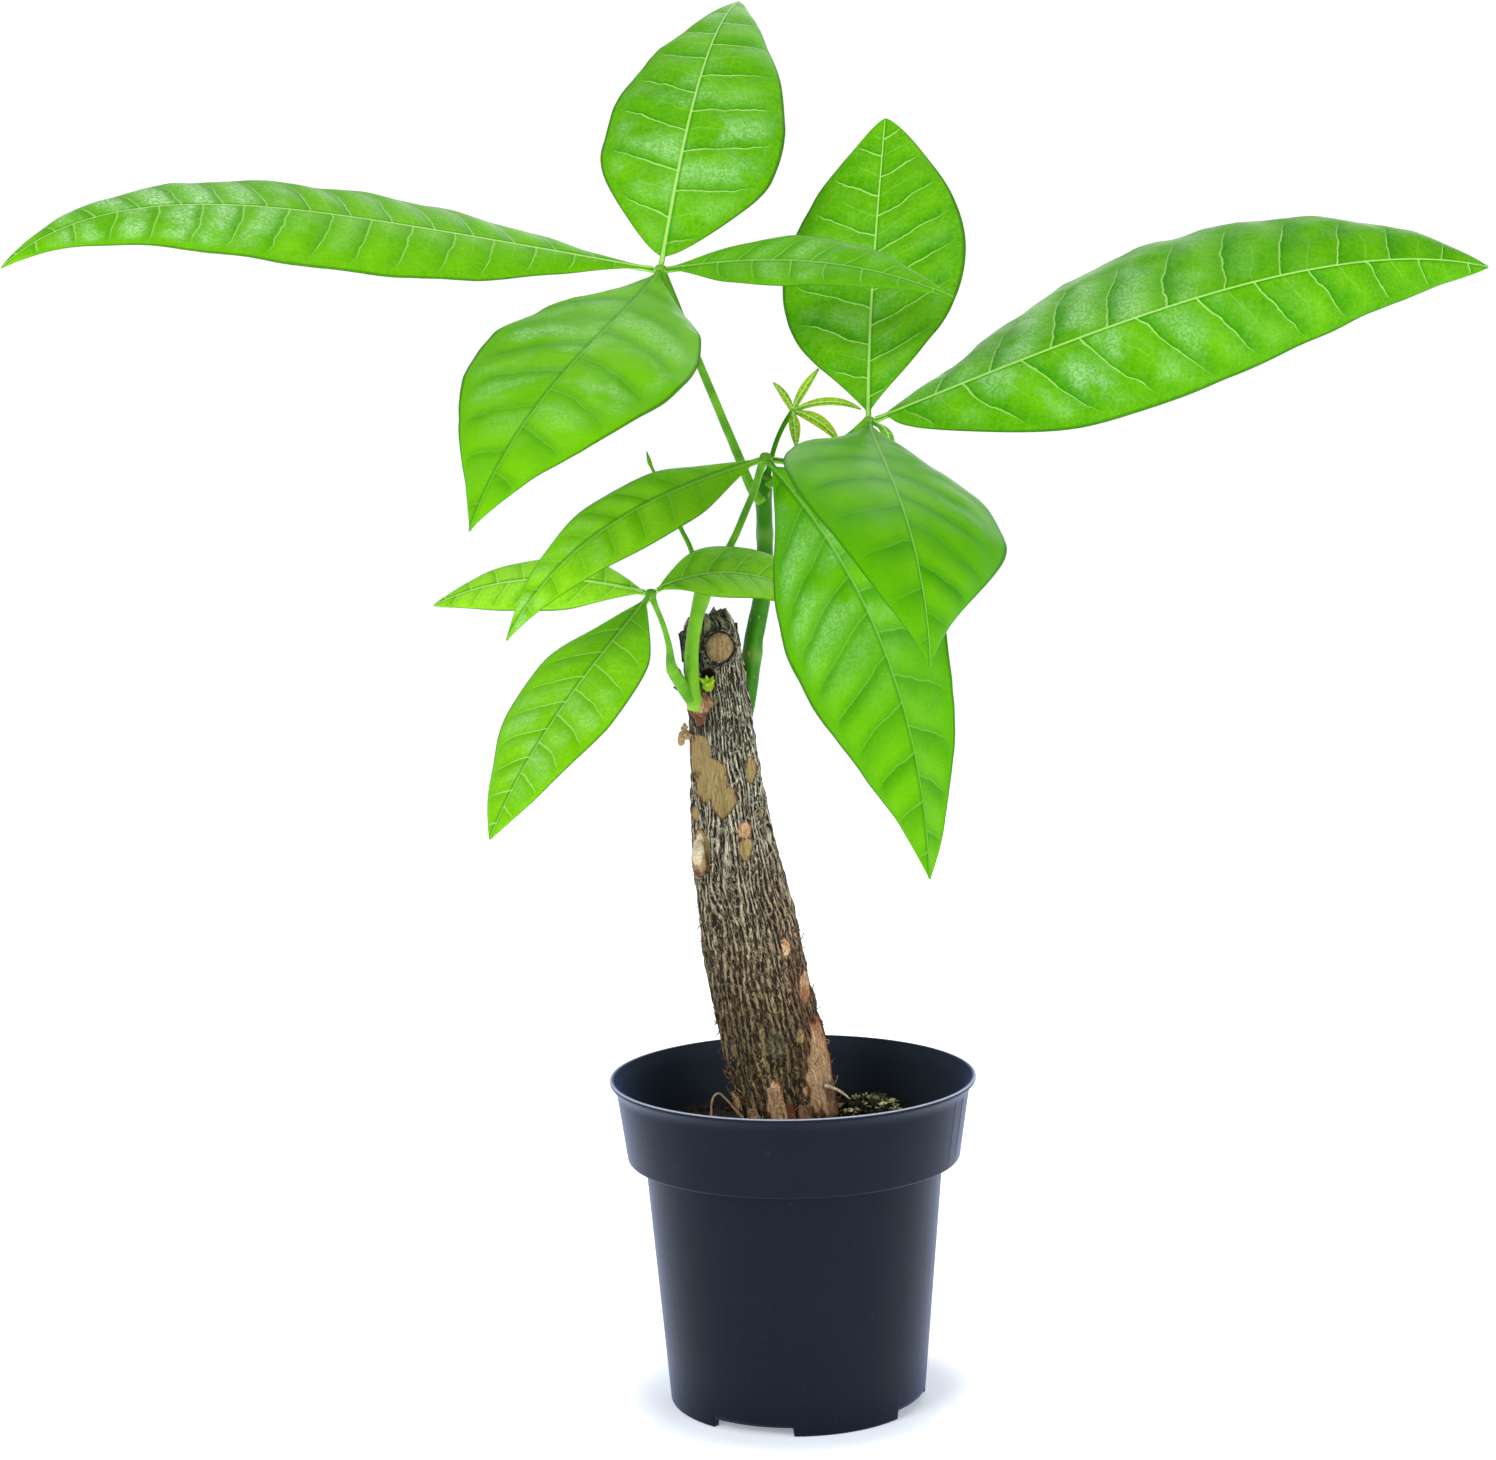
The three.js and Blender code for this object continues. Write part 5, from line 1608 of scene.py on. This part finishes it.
    def add_rib(self, shape: Shape, up: np.ndarray) -> None:
        """Adds the midrib, which stands out below the blade and just shows above it.

        Args:
            shape: what it is added to.
            up: which way the blade faces along its length.
        """
        share = np.linspace(0, 0.985, max(16, int(self.length / 2)))
        lift = np.stack([np.interp(share, np.linspace(0, 1, len(up)), up[:, k]) for k in range(3)], -1)
        radius = 0.66 * (1 - 0.8 * share) * min(1, self.length / 70) + 0.08
        middle = self.midrib(share) - lift * (radius - 0.2)[:, None]
        root = np.array([[*self.hub, max(0.35, 0.9 * min(1, self.length / 60))]])
        rings, shares = swept(np.concatenate([root, np.column_stack([middle, radius])]), 10, 1.6)
        shape.tube(rings, {"across": 0.0, "share": shares[:, None], "half": 1.0, "run": 0.5, "spacing": 9.0,
                           "tone": self.tone.value * 0.5, "pale_rib": self.pale_rib, "light": self.light})


HUB_A: Point = (-33, 5, 323.6)
HUB_B: Point = (24, -10, 280.5)
HUB_C: Point = (-4.8, -20, 271.4)
HUB_D: Point = (-36.6, -30, 235.5)
HUB_YOUNG: Point = (3.4, 8, 283.5)


@dataclass
class Foliage:
    """All the leaflets, each under the name of its solid."""

    leaflets: dict[str, Leaflet] = field(default_factory=lambda: {
        "leaf_a_top": Leaflet(
            HUB_A, 74, 57, 42, 1.7, 3, 127, 54, 0.38, 0.95, -16, 12, 0, 28, 0.06,
            veins=8, clear=0.8, pale_rib=0.75, gloss=0.8, painted_sheen_at=0.36, blunt=2.2, slant=0.3),
        "leaf_a_left": Leaflet(
            HUB_A, 199, 10, 53, 4.5, -6, 182, 48, 0.5, 0.88, 34, -5, 5, 30, 0,
            veins=16, clear=0.55, gloss=1.6, painted_sheen_at=0.78, slant=0.2, bands=0.35, puff=1.8, light=0.34),
        "leaf_a_front": Leaflet(
            HUB_A, 259, -18, 43, 2.4, -29, 133, 60, 0.47, 1.1, 12, 0, 4, 25, 0.03,
            veins=8, clear=0.12, pale_rib=0.15, gloss=0.85, painted_sheen_at=0.48, slant=0.35, bands=0.35, puff=1.6,
            light=0.36),
        "leaf_a_right": Leaflet(
            HUB_A, -30, 5, 28, 1.4, 0, 90, 23, 0.43, 1, -41, 11, 10, 20, 0,
            veins=8, clear=0.35, pale_rib=0.4, gloss=0.6, painted_sheen_at=0.5, bands=0.15),
        "leaf_a_hidden": Leaflet(HUB_A, 205, -45, 15, 1.4, 0, 52, 20, 0.48, 0.9, 15, 0, 8, 20, 0, veins=7),
        "leaf_b_top": Leaflet(
            HUB_B, 87, 44, -18, 1.4, -10, 111, 55, 0.51, 0.84, 11, -1, 10, 19, 0, Tone.GROWN,
            veins=8, clear=1.0, pale_rib=0.9, gloss=0.45, painted_sheen_at=0.36, blunt=2.0, bands=0.5),
        "leaf_b_right": Leaflet(
            HUB_B, -14, 21, 31, 2.5, 43, 187, 61, 0.37, 0.78, -39, -33, -8, 36, -0.17, Tone.DEEP,
            veins=11, clear=1.0, gloss=1.4, painted_sheen_at=0.3, bands=0.6, light=0.2),
        "leaf_b_front": Leaflet(
            HUB_B, -88, -14, 75, 2.5, 13, 111, 65, 0.49, 1.1, 13, 14, 5, 24, -0.06, Tone.DEEP,
            veins=8, clear=0.12, pale_rib=0.4, gloss=0.3, painted_sheen_at=0.3, slant=0.4, bands=0.6, puff=1.7, light=0.2),
        "leaf_b_small": Leaflet(HUB_B, -30, -16, 105, 1, 0, 11, 5, 0.5, 0.9, -10, 0, 10, 20, 0, veins=5),
        "leaf_c_left": Leaflet(
            HUB_C, 216, -13, 45, 1.9, -2, 95, 22, 0.44, 0.97, 41, -10, 5, 25, -0.04, Tone.FRESH,
            veins=9, clear=0.2, pale_rib=0.25, gloss=0.8, painted_sheen_at=0.82, light=0.84),
        "leaf_c_front": Leaflet(
            HUB_C, -56, -33, 56, 1.5, -5, 134, 53, 0.46, 0.94, -68, -12, 16, 15, 0.04,
            veins=10, clear=0.18, pale_rib=0.25, gloss=0.7, painted_sheen_at=0.3, bands=0.4, puff=2.4, light=0.08),
        "leaf_c_hidden": Leaflet(HUB_C, -5, -8, 38, 1.2, -8, 66, 21, 0.48, 0.9, -15, 0, 8, 20, 0, veins=8),
        "leaf_d_left": Leaflet(
            HUB_D, 146, 10, 34, 1.4, 10, 71, 21, 0.45, 0.8, 39, 7, 4, 25, -0.04, Tone.FRESH, veins=8, light=1.0),
        "leaf_d_front": Leaflet(
            HUB_D, 239, -31, 30, 1.7, -18, 87, 35, 0.47, 0.84, 8, -3, 8, 22, 0, Tone.FRESH,
            veins=9, clear=0.55, pale_rib=0.4, gloss=0.6, painted_sheen_at=0.6, bands=0.25, light=0.68),
        "leaf_d_right": Leaflet(
            HUB_D, 10, 28, 69, 0.9, -9, 49, 26, 0.45, 0.8, -30, 0, 12, 18, 0, Tone.FRESH, veins=7, light=1.0),
    })

    def build(self, finish: bpy.types.Material) -> None:
        """Builds every leaflet and sets it in place.

        Args:
            finish: the leaves' skin.
        """
        for name, leaflet in self.leaflets.items():
            shape = Shape(name + "_blade")
            leaflet.add_to(shape)
            slot = "dark_leaf" if name.startswith("leaf_b") else "leaf"
            place_piece(shape.make(finish), slot, name)


# Shoots and stalks

@dataclass
class Stems:
    """The two green shoots, the leaf stalks, the small bud and the unfolding leaf.

    A young leaflet is its heading, rise, droop, sweep, length, width and roll. A bud scale is its heading, rise and
    length, and a scale's profile is its radius at shares of that length.
    """

    shoot_back: tuple[Station, ...] = (
        (-17, 4, 184, 3.3), (-13.2, 6.8, 195, 2.95), (-10.6, 8.5, 205, 2.7), (-8.7, 10, 219, 2.7),
        (-6, 11, 231.6, 2.5), (-5.1, 11, 242, 2.35), (-5.1, 10, 254, 2.25), (-5.2, 9, 261.5, 2.5),
        (-4.3, 8.3, 265, 1.6), (-3.9, 8, 267.4, 0.6))
    shoot_front: tuple[Station, ...] = (
        (-22.5, -3, 198, 2.4), (-25.8, -8, 204, 2.35), (-26.2, -10, 211, 2.0), (-26, -10.6, 219, 1.95),
        (-24.4, -11.6, 228, 2.0), (-22.7, -12, 234, 2.45), (-21.9, -12, 237.5, 2.3), (-21.6, -12, 239, 0.8))
    petiole_a: tuple[Station, ...] = (
        (-5.6, 8.6, 258.6, 1.9), (-8.6, 7, 262.4, 1.5), (-12.2, 6, 271.6, 1.3), (-17.1, 6, 283.8, 1.2),
        (-22.4, 7, 297, 1.15), (-27.2, 6, 309.7, 1.1), (-31, 5.2, 319.4, 1.2), (*HUB_A, 1.5))
    petiole_b: tuple[Station, ...] = (
        (-4.8, 8.6, 262.8, 1.6), (-1.2, 6, 264.8, 1.2), (3, 2, 267.6, 1.05), (11, -4, 271.6, 1.05),
        (18.6, -8, 276.4, 1.1), (*HUB_B, 1.5))
    petiole_c: tuple[Station, ...] = (
        (-22, -12, 234.5, 1.4), (-20, -12, 238.6, 1.2), (-17.2, -11.8, 243.2, 1.05), (-13.6, -11.8, 249.4, 1),
        (-10.6, -12, 256.1, 1), (-7.9, -13.4, 262.4, 1), (-6.2, -17, 268, 1.1), (*HUB_C, 1.4))
    petiole_d: tuple[Station, ...] = (
        (-26.6, -9, 204.4, 1.9), (-29.8, -11.6, 209.8, 1.85), (-31.8, -14.4, 214, 1.5), (-32.2, -18.6, 220, 0.9),
        (-33.6, -23.4, 226.4, 0.76), (-35.4, -27.6, 231.8, 0.8), (*HUB_D, 1.15))
    petiole_young: tuple[Station, ...] = (
        (-22.4, -12, 235, 1.1), (-24.1, -12, 239.2, 0.85), (-25.8, -11.2, 246.4, 0.7), (-28.4, -10, 252, 0.68),
        (-32.6, -8, 261.3, 0.55), (-36.0, -6.2, 268.4, 0.45), (-36.9, -5.6, 270.6, 0.62), (-37.6, -5.3, 273.4, 0.15))
    young_stem: tuple[Station, ...] = (
        (-4, 8.1, 265.4, 0.95), (-3, 8, 269.8, 0.75), (-1.3, 8, 275.2, 0.68), (1, 8, 280, 0.7), (*HUB_YOUNG, 0.85))
    young_leaflets: tuple[tuple[float, ...], ...] = (
        (150, 62, 20, 0, 8, 2.4, 35), (35, 58, 15, 0, 13, 2.6, -35), (-20, 22, 48, -5, 19, 3.0, -48),
        (-30, -12, 42, 0, 15, 3.8, -48), (275, -40, 25, 0, 10.5, 3.2, 0))
    bud: Point = (-21.8, -9.2, 208.2)
    bud_size: Point = (1.7, 1.5, 1.8)
    bud_scales: tuple[tuple[float, float, float], ...] = (
        (200, 40, 3.4), (260, 15, 2.8), (310, 30, 3.2), (20, 55, 3.0), (120, 60, 2.6), (245, 70, 3.0))
    scale_profile: tuple[tuple[float, float], ...] = ((0.1, 0.7), (0.45, 0.75), (0.75, 0.5), (1.0, 0.15))
    sides: int = 28
    knuckle_width: float = 0.018

    def stem(self, name: str, stations: Sequence[Station], knuckles: Sequence[float] = (),
             head: float = 0.0) -> Shape:
        """A stem with ribbed swellings at its joints and, on a leaf stalk, the head that leaflets grow from.

        Args:
            name: the piece's name.
            stations: its line and radii.
            knuckles: where its joints are, as shares of its length.
            head: the radius of the head at its end, or 0 for none.

        Returns:
            The shape.
        """
        shape = Shape(name)
        rings, shares = swept(stations, self.sides, 0.5)
        middle = rings.mean(1, keepdims=True)
        swollen = (np.exp(-((shares - at) / self.knuckle_width) ** 2) for at in knuckles)
        ring = sum(swollen, np.zeros_like(shares))[:, None]
        turn = circle(self.sides)[None]
        ribs = 0.03 * np.cos(5 * turn + 6 * shares[:, None]) + 0.035 * Grain(6).layered(rings, 3.0, 2)
        grown = middle + (rings - middle) * (1 + ribs + 0.1 * ring)[..., None]
        shape.tube(grown, {"knuckle": np.clip(ring, 0, 1), "tone": 0.9})
        if head:
            shape.lump(stations[-1][:3], (head, head, head * 0.9), 0.12, 21, {"knuckle": 0.35}, 16)
        return shape

    def young_leaf(self) -> Shape:
        """The small unfolding leaf: five narrow folded leaflets round the end of its stalk.

        Returns:
            The shape.
        """
        shape = self.stem("unfolding_leaf", self.young_stem, (), 0.95)
        for heading, rise, droop, sweep, length, width, roll in self.young_leaflets:
            Leaflet(HUB_YOUNG, heading, rise, droop, 1.2, sweep, length + 1.5, width, 0.45, 0.7, roll, 0, 25, 20, 0,
                    Tone.FRESH, veins=5, gloss=0.0, start=0.7).add_to(shape)
        return shape

    def side_bud(self) -> Shape:
        """The small bud beside the front shoot: pointed scales round a core.

        Returns:
            The shape.
        """
        shape = Shape("side_bud_scales")
        # Painted light: the bud and its scales are painted lighter.
        shape.lump(self.bud, self.bud_size, 0.2, 33, {"knuckle": 0.2, "tone": 0.3, "light": 0.4}, 14)
        for heading, rise, length in self.bud_scales:
            way = pointing(math.radians(heading), math.radians(rise))
            stations = [[*(np.array(self.bud) + way * length * t), radius] for t, radius in self.scale_profile]
            rings, _ = swept(stations, 10, 0.3)
            shape.tube(rings, {"knuckle": 0.4, "tone": 0.05, "light": 0.7})
        return shape

    def build(self, green: bpy.types.Material, stalk: bpy.types.Material, dark: bpy.types.Material,
              young: bpy.types.Material) -> None:
        """Builds all the stems and sets them in place.

        Args:
            green: the skin of the front shoot.
            stalk: the skin of the leaf stalks.
            dark: the skin of the back shoot.
            young: the skin of the newest growth.
        """
        for shape, finish, slot, node in (
            (self.stem("back_shoot", self.shoot_back, (0.3, 0.62, 0.9)), dark, "dark_shoot", "shoot_back"),
            (self.stem("front_shoot", self.shoot_front, (0.12, 0.86)), green, "green_shoot", "shoot_front"),
            (self.stem("stalk_a", self.petiole_a, (0.03,), 1.75), stalk, "green_shoot", "petiole_a"),
            (self.stem("stalk_b", self.petiole_b, (0.05,), 1.75), stalk, "green_shoot", "petiole_b"),
            (self.stem("stalk_c", self.petiole_c, (0.05,), 1.7), stalk, "green_shoot", "petiole_c"),
            (self.stem("stalk_d", self.petiole_d, (0.3,), 1.6), stalk, "green_shoot", "petiole_d"),
            (self.stem("young_stalk", self.petiole_young), stalk, "green_shoot", "petiole_young"),
            (self.young_leaf(), young, "young_leaf", "young_leaf"),
            (self.side_bud(), young, "young_leaf", "side_bud"),
        ):
            place_piece(shape.make(finish), slot, node)


# Studio

@dataclass
class Studio:
    """The white floor and world, the soft lamps and the camera.

    The floor is in millimetres and the rest in metres, as Blender has them. A ramp is where it starts and ends: the
    sky's runs up from the horizon, the backdrop's runs from the front to the back, and the glow's out from the pot.
    """

    floor_reach: float = 6000.0
    floor_back: float = 3000.0
    floor_squares: int = 24
    floor_drop: float = 0.05
    glow_ramp: tuple[float, float] = (0.04, 0.06)
    glow_near: Colour = (0.26, 0.28, 0.31)
    glow_far: Colour = (0.7, 0.7, 0.7)
    sky_ramp: tuple[float, float] = (0.14, 0.5)
    horizon: float = 1.06
    zenith: float = 0.3
    backdrop_ramp: tuple[float, float] = (0.82, 0.93)
    cool: Colour = (0.83, 0.92, 1.06)
    white: Colour = (1.0, 1.0, 1.0)
    lamps: tuple[tuple[str, Point, float, float], ...] = (
        ("key", (-0.8, -0.95, 0.85), 0.6, 9.4), ("fill", (0.95, -1.0, 0.45), 0.8, 7.4),
        ("top", (-0.1, -0.25, 1.5), 0.6, 3.0), ("back", (0.3, 1.0, 1.0), 0.9, 5.0))
    lamp_aim: Point = (0, 0, 0.2)
    camera_place: Point = (-0.0109, -0.841, 0.2945)
    tilt: float = 6.8
    roll: float = -1.1
    lens: float = 72.0
    sensor: float = 36.0
    clip: tuple[float, float] = (0.05, 50.0)

    def floor(self) -> None:
        """Lays the pale floor with a fine matte grain, which glows faintly but for where the pot stands."""
        f = Finish("studio_floor", Specular_IOR_Level=0.2, Emission_Strength=1.0)
        away = f.node("VectorMath", {"operation": "LENGTH"}, {0: f.place()}, "Value")
        f.give(f.shader, "Emission Color", f.mix(f.smooth(away, *self.glow_ramp), self.glow_near, self.glow_far))
        colour = f.mix(f.noise(f.place(), 3, 2), (0.9, 0.92, 0.96), (0.93, 0.945, 0.97))
        row = self.floor_squares + 1
        edge = np.linspace(-self.floor_reach, self.floor_reach, row)
        x, y = np.meshgrid(edge, edge + self.floor_back, indexing="ij")
        index = np.arange(row - 1)[:, None] * row + np.arange(row - 1)[None]
        quads = np.stack([index, index + row, index + row + 1, index + 1], -1).reshape(-1, 4)
        shape = Shape("studio_floor")
        shape.add(np.stack([x, y, 0 * x - self.floor_drop], -1), [quads])
        sheet = shape.make(f.feed(colour, 0.9))

    def world(self) -> None:
        """Sets the white world, brightest near the horizon and a little cool but for behind the tree."""
        world = bpy.data.worlds.new("studio_world")
        world.use_nodes = True
        g = Graph(world.node_tree)
        towards = g.node("TexCoord", output="Generated")
        level = g.smooth(g.axis(towards, "Z"), *self.sky_ramp, self.horizon, self.zenith)
        tint = g.mix(g.smooth(g.axis(towards, "Y"), *self.backdrop_ramp), self.cool, self.white)
        g.give(g.nodes["Background"], "Color", tint)
        g.give(g.nodes["Background"], "Strength", level)
        bpy.context.scene.world = world

    def light(self) -> None:
        """Sets the soft lamps, all aimed at the tree's middle."""
        for name, place, size, power in self.lamps:
            lamp = bpy.data.lights.new(name, "AREA")
            lamp.size = size
            lamp.energy = power
            holder = bpy.data.objects.new(name, lamp)
            holder.location = place
            holder.rotation_euler = (Vector(self.lamp_aim) - Vector(place)).to_track_quat("-Z", "Y").to_euler()
            bpy.context.scene.collection.objects.link(holder)

    def camera(self) -> None:
        """Sets the camera where the view of the tree is taken from."""
        lens = bpy.data.cameras.new("view")
        lens.lens = self.lens
        lens.sensor_width = self.sensor
        lens.clip_start, lens.clip_end = self.clip
        tilt, roll = math.radians(self.tilt), math.radians(self.roll)
        ahead = Vector((0, math.cos(tilt), -math.sin(tilt)))
        level, upright = Vector((1, 0, 0)), Vector((0, math.sin(tilt), math.cos(tilt)))
        right = level * math.cos(roll) + upright * math.sin(roll)
        up = upright * math.cos(roll) - level * math.sin(roll)
        holder = bpy.data.objects.new("view", lens)
        holder.matrix_world = Matrix.Translation(self.camera_place) @ Matrix((
            (right.x, up.x, -ahead.x, 0), (right.y, up.y, -ahead.y, 0), (right.z, up.z, -ahead.z, 0), (0, 0, 0, 1)))
        bpy.context.scene.collection.objects.link(holder)
        bpy.context.scene.camera = holder

    def build(self) -> None:
        """Sets up the whole studio."""
        bpy.context.scene.view_settings.view_transform = "Standard"
        self.floor()
        self.world()
        self.light()
        self.camera()


def main() -> None:
    """Builds the tree's looks and the studio round it."""
    logging.basicConfig(level=logging.INFO, format="%(name)s %(message)s")
    Studio().build()
    Pot().build(PotFinish().make())
    Trunk().build(BarkFinish().make())
    bed = Bed()
    bed.soil(SoilFinish().make())
    bed.moss(MossFinish().make())
    leaf = LeafFinish()
    Foliage().build(leaf.make())
    Stems().build(
        StemFinish("green_skin", paint(128, 186, 40), paint(98, 160, 24), paint(168, 200, 84)).make(),
        StemFinish("stalk_skin", paint(108, 172, 30), paint(68, 134, 16), paint(150, 190, 70)).make(),
        StemFinish("dark_skin", paint(58, 130, 12), paint(36, 98, 8), paint(130, 160, 72), 0.9).make(),
        replace(leaf, name="young_skin", deep=paint(136, 176, 20), bright=paint(182, 206, 52),
                underside=paint(156, 188, 52)).make(),
    )


if __name__ == "__main__":
    main()
